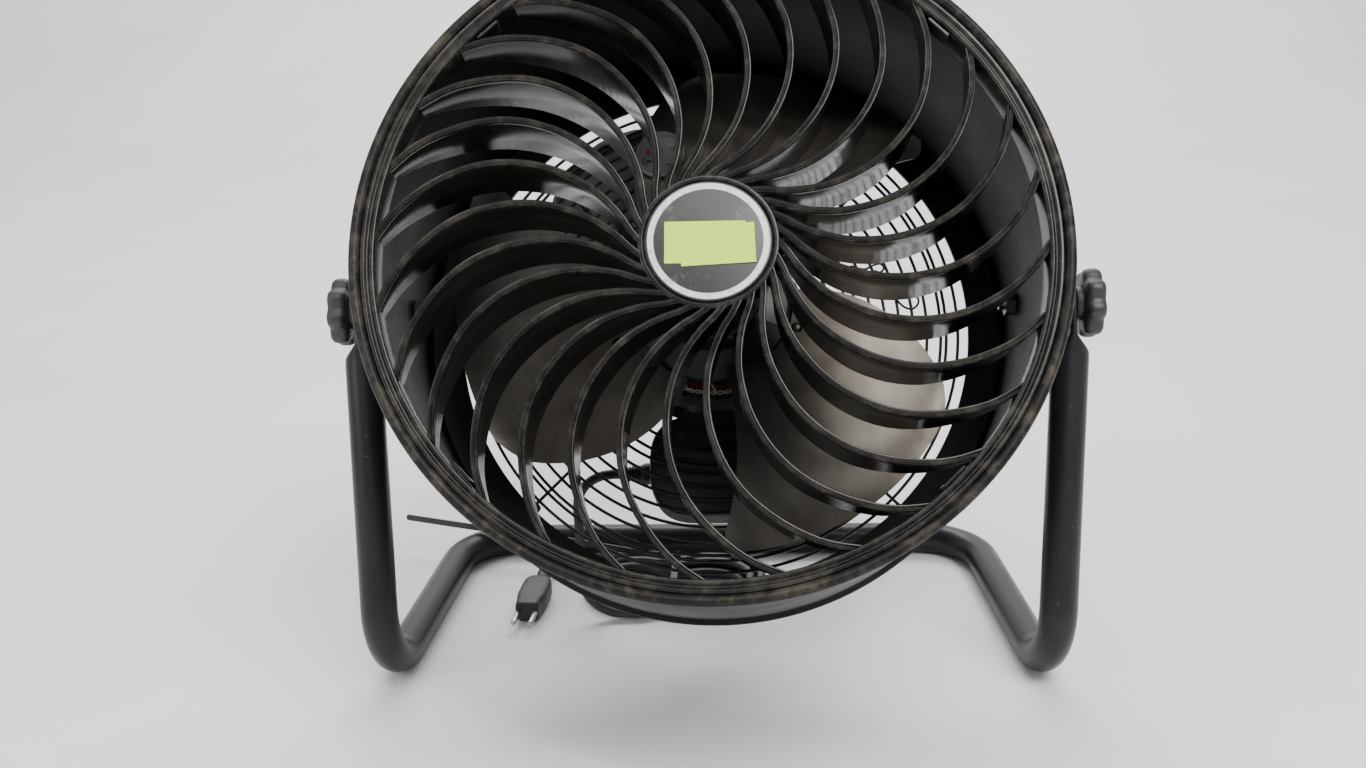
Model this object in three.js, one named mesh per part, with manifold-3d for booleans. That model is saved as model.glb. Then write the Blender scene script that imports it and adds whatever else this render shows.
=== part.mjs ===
// Air circulator fan: a drum with a spiral grille, tilting in a bent tube stand.
// Millimetres, +Z up, the front looks towards -Y, the origin is on the floor under the middle of the object.
import * as THREE from "three";
import { mergeVertices } from "three/addons/utils/BufferGeometryUtils.js";
import Module from "manifold-3d";

const wasm = await Module();
wasm.setup();

// ---------------------------------------------------------------- driving dimensions
const clearance = 0.3; // between pieces that touch

// Drum, stations along its axis count forwards from the pivot axis
const drumRadius = 209.5; // outside of the wall
const drumWall = 2.5;
const drumFront = 137;
const drumBack = -55;
const beadRise = 4; // how far the rolled ends stand out of the wall
const beadLength = 6.6;
const drumSides = 48;

// Pivot of the drum in the stand
const floorRoom = 45.7; // between the floor and the drum's wall when the drum looks level
const pivotHeight = drumRadius + floorRoom;
const pivotSetback = 30.4; // pivot axis behind the origin
const restTilt = 31.55; // degrees that the front looks up

// Front grille
const ringWidth = 8.4;
const ringDepth = 20;
const ringSetback = 2.5; // ring front behind the drum's front
const hubRadius = 42.1;
const hubDepth = 27;
const hubWall = 4;
const hubSetback = 5.4; // hub front behind the drum's front
const vaneCount = 28;
const vaneWall = 1.8; // at its rear edge
const vaneFace = 4; // width of the front edge

// Badge and clips on the grille
const badgeDepth = 1.5;
const badgeRim = 4.4;
const clipLength = 17;
const clipDepth = 12;
const clipWall = 2.2;
const clipAngle = 134;

// Rear guard
const wireRadius = 1.2;
const guardInner = 88;
const guardPairFirst = 11; // from the inner ring to the first of the inner pair
const guardPairGap = 6.5;
const guardEvenCount = 6;
const guardEdge = 6.8; // the ring inside the edge of the drum's opening
const guardEdgeGap = 8.3; // from that ring to the outer pair
const guardOuterPairGap = 4;
const guardRim = 16.5; // between the guard's reach and the outside of the drum's wall
const guardOuter = drumRadius - guardRim;
const flangeLap = 9; // how far the drum's back flange reaches in before the guard
const rearOpening = guardOuter - flangeLap; // radius of the hole in the back flange
const bracketLength = 20;
const bracketWidth = 13;
const bracketSetback = 4; // the bracket's middle from the guard's reach
const bracketAngle = 224.5;

// Impeller
const tipRoom = 33; // between the blades and the inside of the drum
const bladeTip = drumRadius - drumWall - tipRoom;
const bladeRoot = 55;
const rivetSpots = [
  [5, -0.35], // outwards from the root, across the blade
  [15, 0],
  [5, 0.35],
];
const bladeWall = 1.6;
const bladeRise = 45; // axial height between a blade's two edges
const bladeCamber = 7;
const bladeCount = 3;
const bladeFirstAngle = 304;
const impellerStation = 24.5;
const cupRadius = 34;
const cupWall = 3;
const cupDepth = 28;
const cupNose = 14; // radius of the thick middle
const collarRadius = 13;
const collarLength = 8;
const bladeShares = [0, 0.2, 0.45, 0.7, 0.88, 0.965, 1]; // radii where a blade is drawn, root to tip
const bladeSteps = 6; // across a blade
const armSteps = [1, 4]; // the steps across a blade that an arm spans
const armGap = 1.8; // between a blade and its arm
const discRadius = 18; // of the round plate on the upper blade
const discWall = 2;
const discLift = 1.6; // between the blade and the plate
const discReach = 62; // outwards from the root
const discAcross = 0.75;

// Motor
const motorRadius = 62;
const stackFront = -16;
const stackBack = -50;
const stackBore = 36.3;
const airGap = 0.8;
const shaftRadius = 6;
const bellFront = 7;
const bellRimRadius = 53;
const bellRimStation = 0;
const bellWall = 3.4;
const bellNose = 26; // radius of the bell's flat middle
const earLength = 13;
const earWidth = 12;
const earDepth = 5;
const bearingRadius = 11;
const bearingLength = 6.6;
const rearBellBack = -90;
const windingInner = 43.5; // middle of the innermost turn
const windingPitch = 5.6;
const windingWire = 5;
const windingTurns = 2.125;
const windingClearance = 0.35;

// Spider that carries the motor on the guard
const spiderWall = 2.5;
const spiderArmWidth = 14;
const spiderReach = 112;
const spiderRing = 8;

// Terminal box under the motor
const boxWidth = 94;
const boxHeight = 73.4;
const boxCorner = 32;
const boxDepth = 38;
const boxWall = 2.5;
const coverWall = 2.5;
const capacitorRadius = 14;
const capacitorLength = 50;

// Switch behind the guard, up and to the left
const switchAngle = 105;
const switchRadius = 15;
const switchDepth = 7.4; // of the disc in front of the guard
const switchStem = 2.4;
const switchBody = 14;
const housingMiddle = [-46, 86];
const housingRadius = 79;
const housingRelief = 76; // cut round the motor
const housingDepth = 24;
const housingWall = 2.5;
const dialRadius = 18;
const dialLength = 16;

// Stand
const tubeRadius = 12.7;
const tubeSides = 12;
const footFlat = 0.3; // depth of the flat that the stand rests on
const lugWall = 5;
const bossLength = 26.2;
const washerLength = 4.4;
// From the middle plane to the middle of a lug.
const legSpan = drumRadius + bossLength + washerLength + lugWall / 2 + 3 * clearance;
const toeSpan = legSpan - 14.5;
const toeReach = 88;
const heelSpan = legSpan - 27.5;
const heelReach = 152;
const toeBend = 37;
const heelBend = 48;
const lugRadius = 15;
const lugShoulder = 34; // from the pivot down to where the tube is round again
const lugLength = 46;

// Pivot hardware
const boltRadius = 4;
const bossRadius = 20;
const bossNose = 16;
const washerRadius = 17;
const nutWidth = 14;
const nutLength = 6.5;
const knobRadius = 24;
const knobLobes = 8;
const knobLobeDepth = 3;
const knobLength = 13;
const knobBossLength = 4.5;
const knobBossRadius = 12;

// Cord
const cordRadius = 3.6;
const glandStation = -80;
const glandDrop = -102;
const glandLength = 20.2;
const glandRadius = 8;
const hankMiddle = [-35, 73];
const hankHalfRun = 33;
const hankFold = 45; // radius of the outer fold
const hankPitch = 8.8;
const hankWaist = 8; // how far the runs are drawn in
const hankStart = 0.02; // turns from the left end of the front run
const hankEnd = 4.73;
const hankReversal = 2.625;
const hankFloor = 5.7; // height of the lower layer's middle
const hankLayer = 7.9;
const tieWidth = 5.2;
const tieWall = 1.3;

// The cord's free stretches, from the gland down to the hank and from the hank to the plug.
// The first one counts from the gland's mouth. In the others heights count from the floor
// and the middle number counts back from the pivot axis.
const glandRoute = [
  [-0.3, 0, 0],
  [-7.5, 0, 0],
  [-16.2, 0.2, -1.4],
  [-24.1, 0.7, -5.4],
  [-30.4, 1.4, -11.6],
  [-34.3, 2.2, -19.5],
  [-35.5, 3.1, -27.9],
  [-35.5, 4.8, -41.8],
];
const dropRoute = [
  [-103, 22.2, 62],
  [-103, 24.43, 42.6],
];
const landingRoute = [
  [-103, 24.48, 42.2],
  [-103, 25.2, 35.9],
  [-102, 26, 27.9],
  [-99, 26.7, 20.6],
  [-94.2, 27.2, 14.4],
  [-88, 27.6, 9.7],
  [-80.8, 27.8, 6.7],
  [-74.5, 27.9, 5.75],
];
const tailRoute = [
  [-76, 113.9, 13.5],
  [-82.8, 114.6, 13.1],
  [-89.2, 116.7, 11.8],
  [-95, 120.5, 9.8],
  [-100.8, 124.6, 7.5],
  [-107.2, 127.2, 5.5],
  [-114, 128, 4.3],
  [-121.4, 127, 3.9],
  [-128.3, 124.2, 4.1],
  [-134.2, 119.7, 5],
  [-138.7, 113.7, 6.5],
  [-141.5, 106.9, 8.3],
  [-142.45, 101.2, 9.3],
  [-142.88, 94.7, 9.3],
];
const tieTail = [
  [-60, 101, 22],
  [-100, 111, 24.6],
  [-150, 124, 27.4],
  [-204, 138, 29],
  [-240, 147.5, 30.4],
  [-272, 156, 31.8],
];

// Plug, lying on the floor
const plugEnd = [-142.9, 94.3]; // where the cord enters
const plugTip = [-148.7, 5];
const plugHeight = 17;
const plugLift = 0.3;
const pinRadius = 2;
const pinLength = 19;
const pinSpread = 13; // between the pins' middles

// ---------------------------------------------------------------- colours
const finish = (color, roughness, metalness) =>
  new THREE.MeshStandardMaterial({ color, roughness, metalness });
const drumPaint = finish(0x1c1b19, 0.38, 0.3);
const grillePlastic = finish(0x1b1a18, 0.35, 0);
const blackPlastic = finish(0x171717, 0.5, 0);
const knobPlastic = finish(0x232322, 0.55, 0);
const standPaint = finish(0x1d1d1f, 0.6, 0.2);
const wirePaint = finish(0x121212, 0.45, 0.4);
const bladeMetal = finish(0x8f8b85, 0.42, 0.85);
const motorPaint = finish(0x0f0f0f, 0.5, 0.3);
const copper = finish(0x8a4a24, 0.4, 0.6);
const steel = finish(0xa5a5a2, 0.35, 0.9);
const badgePrint = finish(0x262524, 0.5, 0);
const switchPlastic = finish(0x8a8c8b, 0.55, 0);
const cordJacket = finish(0x131313, 0.6, 0);

// ---------------------------------------------------------------- helpers
const degrees = THREE.MathUtils.degToRad;
const polar = (radius, angle) =>
  new THREE.Vector2(radius * Math.cos(angle), radius * Math.sin(angle));

// The geometry as one closed solid that faces outwards.
function solid(geometry) {
  const bare = new THREE.BufferGeometry();
  bare.setAttribute("position", geometry.getAttribute("position").clone());
  if (geometry.index) {
    bare.setIndex(geometry.index.clone());
  }
  const merged = mergeVertices(bare, 1e-4);
  const places = merged.attributes.position.array;
  const corners = merged.index.array;
  const faces = [];
  let volume = 0;
  for (let i = 0; i < corners.length; i += 3) {
    const [a, b, c] = [corners[i], corners[i + 1], corners[i + 2]];
    if (a === b || b === c || a === c) {
      continue;
    }
    faces.push(a, b, c);
    const [p, q, r] = [a, b, c].map((k) => new THREE.Vector3().fromArray(places, 3 * k));
    volume += p.dot(q.cross(r));
  }
  if (volume < 0) {
    faces.reverse();
  }
  return new wasm.Manifold(
    new wasm.Mesh({ numProp: 3, vertProperties: places, triVerts: new Uint32Array(faces) }),
  );
}

function toGeometry(made) {
  const { vertProperties, triVerts } = made.getMesh();
  const geometry = new THREE.BufferGeometry();
  geometry.setAttribute("position", new THREE.BufferAttribute(vertProperties, 3));
  geometry.setIndex(new THREE.BufferAttribute(triVerts, 1));
  geometry.computeVertexNormals();
  return geometry;
}

const joined = (pieces) => pieces.reduce((all, piece) => all.add(piece));
const cutFrom = (body, cutters) => cutters.reduce((left, cutter) => left.subtract(cutter), body);

function addPiece(group, name, made, material) {
  const mesh = new THREE.Mesh(toGeometry(made), material);
  mesh.name = name;
  group.add(mesh);
  return mesh;
}

// A profile of [radius, station] points turned about the Z axis.
function turned(profile, sides) {
  const closed = profile[0][0] === 0 && profile.at(-1)[0] === 0;
  const ring = closed ? profile : [...profile, profile[0]];
  const points = ring.map(([radius, station]) => new THREE.Vector2(radius, station));
  return new THREE.LatheGeometry(points, sides).rotateX(Math.PI / 2);
}

// A round bar from one station to another along the Z axis.
function bar(radius, from, to, sides = 24) {
  const length = to - from;
  return new THREE.CylinderGeometry(radius, radius, length, sides)
    .rotateX(Math.PI / 2)
    .translate(0, 0, from + length / 2);
}

function plate(outline, from, to, holes = []) {
  const shape = new THREE.Shape(outline);
  shape.holes = holes.map((hole) => new THREE.Path(hole));
  return new THREE.ExtrudeGeometry(shape, {
    depth: to - from,
    bevelEnabled: false,
    steps: 1,
  }).translate(0, 0, from);
}

function block(width, height, depth, x, y, z) {
  return new THREE.BoxGeometry(width, height, depth).translate(x, y, z);
}

const circle = (radius, sides, x = 0, y = 0) =>
  Array.from({ length: sides }, (_, i) =>
    polar(radius, (2 * Math.PI * i) / sides).add(new THREE.Vector2(x, y)),
  );

function roundedRectangle(width, height, corner, steps, x, y) {
  const points = [];
  const middles = [
    [1, 1],
    [-1, 1],
    [-1, -1],
    [1, -1],
  ];
  middles.forEach(([right, up], quarter) => {
    for (let i = 0; i <= steps; i++) {
      const spot = polar(corner, (Math.PI / 2) * (quarter + i / steps));
      spot.x += x + right * (width / 2 - corner);
      spot.y += y + up * (height / 2 - corner);
      points.push(spot);
    }
  });
  return points;
}

// A curve through stations that keeps each station as one step of an extrusion.
class StationCurve extends THREE.Curve {
  constructor(stations) {
    super();
    this.stations = stations;
  }
  getUtoTmapping(u) {
    return u;
  }
  getPoint(t, target = new THREE.Vector3()) {
    const place = t * (this.stations.length - 1);
    const index = Math.min(Math.floor(place), this.stations.length - 2);
    return target.lerpVectors(this.stations[index], this.stations[index + 1], place - index);
  }
}

function tubeAlong(stations, radius, sides) {
  return new THREE.ExtrudeGeometry(new THREE.Shape(circle(radius, sides)), {
    extrudePath: new StationCurve(stations),
    steps: stations.length - 1,
  });
}

// A polyline whose inner corners are rounded.
function roundedRoute(corners, bends, steps) {
  const route = [corners[0]];
  bends.forEach((bend, i) => {
    const corner = corners[i + 1];
    const back = corners[i].clone().sub(corner).normalize();
    const ahead = corners[i + 2].clone().sub(corner).normalize();
    const half = back.angleTo(ahead) / 2;
    const bisector = back.clone().add(ahead).normalize();
    const middle = bisector.multiplyScalar(bend / Math.sin(half)).add(corner);
    const reach = bend / Math.tan(half);
    const from = back.multiplyScalar(reach).add(corner).sub(middle);
    const to = ahead.multiplyScalar(reach).add(corner).sub(middle);
    const sweep = from.angleTo(to);
    for (let k = 0; k <= steps; k++) {
      const before = Math.sin(((steps - k) / steps) * sweep) / Math.sin(sweep);
      const after = Math.sin((k / steps) * sweep) / Math.sin(sweep);
      const spoke = from.clone().multiplyScalar(before).addScaledVector(to, after);
      route.push(spoke.add(middle));
    }
  });
  route.push(corners.at(-1));
  return route;
}

// One closed skin over rings of points that all have the same count, with both ends capped.
function skin(rings) {
  const sides = rings[0].length;
  const places = rings.flat().flatMap((p) => [p.x, p.y, p.z]);
  const faces = [];
  for (let i = 0; i + 1 < rings.length; i++) {
    for (let k = 0; k < sides; k++) {
      const [a, b] = [i * sides + k, i * sides + ((k + 1) % sides)];
      faces.push(a, b, b + sides, a, b + sides, a + sides);
    }
  }
  const last = (rings.length - 1) * sides;
  for (let k = 1; k + 1 < sides; k++) {
    faces.push(0, k + 1, k, last, last + k, last + k + 1);
  }
  const geometry = new THREE.BufferGeometry();
  geometry.setAttribute("position", new THREE.Float32BufferAttribute(places, 3));
  geometry.setIndex(faces);
  return geometry;
}

// A tube of few sides through points, for wound loops. Its section stays level with the winding.
function woundTube(points, radius, sides) {
  const rings = points.map((point, i) => {
    const before = points[Math.max(i - 1, 0)];
    const after = points[Math.min(i + 1, points.length - 1)];
    const along = after.clone().sub(before).normalize();
    const aside = new THREE.Vector3(0, 0, 1).cross(along).normalize();
    const over = along.clone().cross(aside);
    return Array.from({ length: sides }, (_, k) => {
      const spot = polar(radius, (2 * Math.PI * (k + 0.5)) / sides);
      return point.clone().addScaledVector(aside, spot.x).addScaledVector(over, spot.y);
    });
  });
  return skin(rings);
}

// The least free gap of a wound tube to itself, between stretches more than half a loop apart.
function leastGap(points, radius, apart) {
  let least = Infinity;
  const near = new THREE.Vector3();
  for (let i = 0; i < points.length; i++) {
    for (let k = i + apart; k + 1 < points.length; k++) {
      const line = new THREE.Line3(points[k], points[k + 1]);
      line.closestPointToPoint(points[i], true, near);
      least = Math.min(least, near.distanceTo(points[i]) - 2 * radius);
    }
  }
  return least;
}

const root = new THREE.Group();
const standGroup = new THREE.Group();
standGroup.position.set(0, pivotSetback, 0);
const headGroup = new THREE.Group();
headGroup.position.set(0, pivotSetback, pivotHeight);
headGroup.rotation.x = degrees(90 - restTilt);
root.add(standGroup, headGroup);

const sideNames = { left: -1, right: 1 };

// ---------------------------------------------------------------- stand
const floorLine = tubeRadius * Math.cos(Math.PI / tubeSides) - footFlat;

function standTube() {
  const topHeight = pivotHeight - lugShoulder;
  const lean = toeReach / (pivotHeight - floorLine);
  const topReach = (pivotHeight - topHeight) * lean;
  const side = (s) => [
    new THREE.Vector3(s * legSpan, -topReach, topHeight),
    new THREE.Vector3(s * toeSpan, -toeReach, floorLine),
    new THREE.Vector3(s * heelSpan, heelReach, floorLine),
  ];
  const corners = [...side(-1), ...side(1).reverse()];
  const route = roundedRoute(corners, [toeBend, heelBend, heelBend, toeBend], 5);
  const tube = solid(tubeAlong(route, tubeRadius, tubeSides));
  const lugs = Object.values(sideNames).map((s) => lug(s, lean));
  const floor = solid(block(4 * legSpan, 4 * heelReach, 2 * tubeRadius, 0, 0, -tubeRadius));
  return joined([tube, ...lugs]).subtract(floor);
}

// The flattened end of a leg, with the hole for the pivot bolt and a wedge into the round tube.
function lug(s, lean) {
  const eye = Array.from({ length: 13 }, (_, i) => polar(lugRadius, (Math.PI * i) / 12));
  const foot = [new THREE.Vector2(-tubeRadius, -lugLength), new THREE.Vector2(tubeRadius, -lugLength)];
  const hole = circle(boltRadius + clearance + 0.1, 16);
  const flat = plate([...eye, ...foot], -lugWall / 2, lugWall / 2, [hole]);
  const wedge = new THREE.Shape([
    new THREE.Vector2(-tubeRadius * 0.9, -lugShoulder - 2),
    new THREE.Vector2(tubeRadius * 0.9, -lugShoulder - 2),
    new THREE.Vector2(lugWall / 2, -washerRadius - 2.5),
    new THREE.Vector2(-lugWall / 2, -washerRadius - 2.5),
  ]);
  const swell = new THREE.ExtrudeGeometry(wedge, { depth: 2 * tubeRadius * 0.94, bevelEnabled: false })
    .translate(0, 0, -tubeRadius * 0.94)
    .rotateY(Math.PI / 2);
  const turn = new THREE.Matrix4().makeBasis(
    new THREE.Vector3(0, 1, 0),
    new THREE.Vector3(0, 0, 1),
    new THREE.Vector3(1, 0, 0),
  );
  const slant = new THREE.Matrix4().makeRotationX(-Math.atan(lean));
  const place = (geometry) =>
    solid(geometry.applyMatrix4(turn).applyMatrix4(slant).translate(s * legSpan, 0, pivotHeight));
  return joined([place(flat), place(swell)]);
}

addPiece(standGroup, "stand_tube", standTube(), standPaint);

// ---------------------------------------------------------------- pivot hardware and star knobs
const boltHole = boltRadius + clearance + 0.1;
const bossStart = drumRadius + clearance;
const washerStart = bossStart + bossLength + clearance;
const washerEnd = washerStart + washerLength;
const lugOutside = legSpan + lugWall / 2;
const knobStart = lugOutside + clearance;
const knobEnd = knobStart + knobBossLength + knobLength;
const boltDepth = 10; // of the stud in the knob
const drumInside = drumRadius - drumWall;
const nutStart = drumInside - clearance - nutLength - 0.5;

function starKnob() {
  const outline = Array.from({ length: knobLobes * 4 }, (_, i) => {
    const angle = (2 * Math.PI * i) / (knobLobes * 4);
    const wave = (1 - Math.cos(knobLobes * angle)) / 2;
    return polar(knobRadius - knobLobeDepth * wave, angle);
  });
  const rim = 2;
  const inner = outline.map((point) => point.clone().multiplyScalar(1 - rim / knobRadius));
  const level = (points, z) => points.map((p) => new THREE.Vector3(p.x, p.y, z));
  const bottom = knobStart + knobBossLength;
  const rings = [
    level(inner, bottom),
    level(outline, bottom + rim),
    level(outline, knobEnd - rim),
    level(inner, knobEnd),
  ];
  const boss = solid(bar(knobBossRadius, knobStart, bottom + rim, 16));
  const stud = solid(bar(boltHole, knobStart - 1, knobStart + boltDepth + clearance, 10));
  return joined([solid(skin(rings)), boss]).subtract(stud);
}

for (const [sideName, s] of Object.entries(sideNames)) {
  const pivot = new THREE.Group();
  pivot.position.set(0, pivotSetback, pivotHeight);
  pivot.rotation.y = (s * Math.PI) / 2;
  root.add(pivot);
  const boss = turned(
    [
      [boltHole, bossStart],
      [bossRadius, bossStart],
      [bossRadius, bossStart + bossLength * 0.3],
      [bossNose, bossStart + bossLength],
      [boltHole, bossStart + bossLength],
    ],
    14,
  );
  const washer = turned(
    [
      [boltHole, washerStart],
      [washerRadius, washerStart],
      [washerRadius, washerEnd],
      [boltHole, washerEnd],
    ],
    14,
  );
  const nut = plate(circle(nutWidth / 2 / Math.cos(Math.PI / 6), 6), nutStart, nutStart + nutLength, [
    circle(boltHole, 10),
  ]);
  const bolt = bar(boltRadius, nutStart - 4, knobStart + boltDepth, 10);
  addPiece(pivot, "pivot_boss_" + sideName, solid(boss), blackPlastic);
  addPiece(pivot, "pivot_washer_" + sideName, solid(washer), blackPlastic);
  addPiece(pivot, "pivot_nut_" + sideName, solid(nut), steel);
  addPiece(pivot, "pivot_bolt_" + sideName, solid(bolt), steel);
  addPiece(pivot, "star_knob_" + sideName, starKnob(), knobPlastic);
}

// ---------------------------------------------------------------- drum
function drumShell() {
  const beadRadius = drumRadius + beadRise;
  const inside = drumRadius - drumWall;
  const front = drumFront;
  const back = drumBack;
  const profile = [
    [rearOpening, back + 3],
    [rearOpening, back + 3 + drumWall],
    [inside, back + 3 + drumWall],
    [inside, front - 2],
    [inside + 2, front],
    [beadRadius - 2, front],
    [beadRadius, front - 2.5],
    [drumRadius, front - beadLength],
    [drumRadius, back + beadLength],
    [beadRadius, back + 2.5],
    [beadRadius - 2, back],
    [inside, back + 1],
    [inside - 10, back + 3],
  ];
  const pierce = solid(bar(boltHole, -2 * drumRadius, 2 * drumRadius, 16).rotateY(Math.PI / 2));
  return solid(turned(profile, drumSides)).subtract(pierce);
}

addPiece(headGroup, "drum_shell", drumShell(), drumPaint);

// ---------------------------------------------------------------- front grille
const ringOuter = drumRadius - drumWall - clearance;
const ringInner = ringOuter - ringWidth;
const ringFront = drumFront - ringSetback;
const hubFront = drumFront - hubSetback;
const badgeRadius = hubRadius - badgeRim;
const badgeSeat = hubFront - badgeDepth;

// Stations of a vane: share of the way from hub to ring, angle, height of its front edge over the hub, depth.
const vaneStations = [
  [-0.0135, 155, 0, 24],
  [0.04, 143, 0.4, 27],
  [0.13, 132.6, 1.1, 33],
  [0.3, 127.6, 2.2, 41],
  [0.6, 132, 3.2, 43],
  [0.88, 144.3, 2.5, 32],
  [1.012, 153.4, 0.8, 17],
];

function vane(turn) {
  const span = ringInner - hubRadius;
  const spots = vaneStations.map(([share, angle]) =>
    polar(hubRadius + share * span, degrees(angle + turn)),
  );
  const rings = vaneStations.map(([, , rise, depth], i) => {
    const before = spots[Math.max(i - 1, 0)];
    const after = spots[Math.min(i + 1, spots.length - 1)];
    const along = after.clone().sub(before).normalize();
    const front = hubFront + rise;
    const section = [
      [-vaneFace / 2, front],
      [vaneFace / 2, front],
      [vaneWall / 2, front - depth],
      [-vaneWall / 2, front - depth],
    ];
    return section.map(
      ([aside, height]) =>
        new THREE.Vector3(spots[i].x - along.y * aside, spots[i].y + along.x * aside, height),
    );
  });
  return solid(skin(rings));
}

function frontGrille() {
  const ring = turned(
    [
      [ringInner, ringFront - ringDepth],
      [ringOuter, ringFront - ringDepth],
      [ringOuter, ringFront - 1],
      [ringOuter - ringWidth * 0.3, ringFront],
      [ringOuter - ringWidth * 0.55, ringFront - 2],
      [ringInner, ringFront - 1],
    ],
    drumSides,
  );
  const hub = turned(
    [
      [0, badgeSeat - 3],
      [hubRadius - hubWall, badgeSeat - 3],
      [hubRadius - hubWall, hubFront - hubDepth],
      [hubRadius, hubFront - hubDepth],
      [hubRadius, hubFront - 1.5],
      [hubRadius - 1.5, hubFront],
      [badgeRadius + clearance, hubFront],
      [badgeRadius + clearance, badgeSeat - clearance],
      [0, badgeSeat - clearance],
    ],
    30,
  );
  const vanes = Array.from({ length: vaneCount }, (_, k) => vane((360 / vaneCount) * k));
  return joined([solid(ring), solid(hub), ...vanes]);
}

addPiece(headGroup, "front_grille", frontGrille(), grillePlastic);
addPiece(headGroup, "hub_badge", solid(bar(badgeRadius, badgeSeat, hubFront - clearance, 30)), badgePrint);

for (let k = 0; k < 4; k++) {
  const clip = block(
    clipWall,
    clipLength,
    clipDepth,
    ringInner - clearance - clipWall / 2 - 0.3,
    0,
    ringFront - 3 - clipDepth / 2,
  );
  const placed = solid(clip.rotateZ(degrees(clipAngle + 90 * k)));
  addPiece(headGroup, "grille_clip_" + (k + 1), placed, grillePlastic);
}

// ---------------------------------------------------------------- rear guard
const guardStation = drumBack + 3 - clearance - wireRadius - 0.2;
const guardPair = guardInner + guardPairFirst + guardPairGap; // outer one of the inner pair
const guardLast = rearOpening - guardEdge;
const guardOuterPair = guardLast - guardEdgeGap;
const guardPitch = (guardOuterPair - guardOuterPairGap - guardPair) / guardEvenCount;
const diagonals = [45, 135, 225, 315].map(degrees);

function rearGuard() {
  const radii = [guardInner, guardPair - guardPairGap, guardPair];
  for (let k = 1; k <= guardEvenCount; k++) {
    radii.push(guardPair + k * guardPitch);
  }
  radii.push(guardOuterPair, guardLast, guardOuter - wireRadius);
  const ringSides = 24;
  const rings = radii.map((radius) =>
    solid(new THREE.TorusGeometry(radius, wireRadius, 3, ringSides).translate(0, 0, guardStation)),
  );
  const spokes = diagonals.map((angle) =>
    solid(
      new THREE.CylinderGeometry(wireRadius, wireRadius, radii.at(-1) - guardInner + 2, 4)
        .rotateZ(Math.PI / 2)
        .translate((radii.at(-1) + guardInner) / 2, 0, guardStation - 1.7 * wireRadius)
        .rotateZ(angle),
    ),
  );
  return joined([...rings, ...spokes]);
}

addPiece(headGroup, "rear_guard", rearGuard(), wirePaint);

// A small plate with an eye, behind the guard.
function guardBracket() {
  const reach = guardOuter - bracketSetback;
  const outline = roundedRectangle(bracketLength, bracketWidth, 3, 3, reach, 0);
  const eye = circle(2.5, 12, reach - bracketLength / 5, 0);
  const front = guardStation - 2.7 * wireRadius - clearance;
  return solid(plate(outline, front - 1.5, front, [eye]).rotateZ(degrees(bracketAngle)));
}

addPiece(headGroup, "guard_bracket", guardBracket(), wirePaint);

// ---------------------------------------------------------------- impeller
const impeller = new THREE.Group();
headGroup.add(impeller);
const shaftHole = shaftRadius + clearance;

// The edges of a blade at a radius: half the angle it spans and the angle of its middle.
function bladeSpan(radius) {
  const outward = Math.max(0, (radius - bladeRoot) / (bladeTip - bladeRoot));
  return { half: 46 - 13 * outward ** 1.2, middle: 22 - 22 * outward ** 1.5 };
}

// A point of the blade's mid surface, across from -1 at its front edge to 1 at its rear edge.
function bladePoint(radius, across, round, offset) {
  const { half, middle } = bladeSpan(radius);
  const angle = degrees(middle + across * half * round);
  const belly = bladeCamber * (1 - across * across);
  const station = impellerStation - (across * round * bladeRise) / 2 - belly + offset;
  const spot = polar(radius, angle);
  return new THREE.Vector3(spot.x, spot.y, station);
}

// A sheet on the blade surface as a closed skin, through radii that each have a share of the full width.
function bladeSheet(radii, [from, to], offset, wall) {
  const steps = Array.from({ length: to - from + 1 }, (_, k) => from + k);
  const across = steps.map((step) => (2 * step) / bladeSteps - 1);
  const rings = radii.map(([radius, round]) => {
    const front = across.map((a) => bladePoint(radius, a, round, offset + wall / 2));
    const rear = across.map((a) => bladePoint(radius, a, round, offset - wall / 2));
    return [...front, ...rear.reverse()];
  });
  return skin(rings);
}

const bladeRadius = (share) => bladeRoot + share * (bladeTip - bladeRoot);

function blade(turn) {
  const radii = bladeShares.map((share) => [bladeRadius(share), 1]);
  radii.at(-2)[1] = 0.97;
  radii.at(-1)[1] = 0.86;
  const sheet = solid(bladeSheet(radii, [0, bladeSteps], 0, bladeWall).rotateZ(turn));
  const rivets = rivetSpots.map(([outwards, across]) => {
    const seat = bladePoint(bladeRoot + outwards, across, 1, 0);
    const head = new THREE.CylinderGeometry(2.6, 4, 3, 6).rotateX(Math.PI / 2);
    return solid(head.translate(seat.x, seat.y, seat.z + bladeWall / 2 + 0.6).rotateZ(turn));
  });
  return joined([sheet, ...rivets]);
}

// A round plate on a stud, square to the blade's surface.
function bladeDisc(turn) {
  const reach = bladeRoot + discReach;
  const seat = bladePoint(reach, discAcross, 1, 0);
  const outwards = bladePoint(reach + 1, discAcross, 1, 0).sub(seat);
  const onwards = bladePoint(reach, discAcross + 0.01, 1, 0).sub(seat);
  const normal = outwards.cross(onwards).normalize();
  const square = new THREE.Quaternion().setFromUnitVectors(new THREE.Vector3(0, 0, 1), normal);
  const back = bladeWall / 2 + discLift;
  const profile = [
    [0, bladeWall / 2 + clearance],
    [4, bladeWall / 2 + clearance],
    [4, back],
    [discRadius, back],
    [discRadius, back + discWall],
    [discRadius - 2.5, back + discWall],
    [discRadius - 3, back + discWall - 0.6],
    [0, back + discWall - 0.6],
  ];
  const disc = turned(profile, 20).applyQuaternion(square).translate(seat.x, seat.y, seat.z);
  return solid(disc.rotateZ(turn));
}

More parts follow.
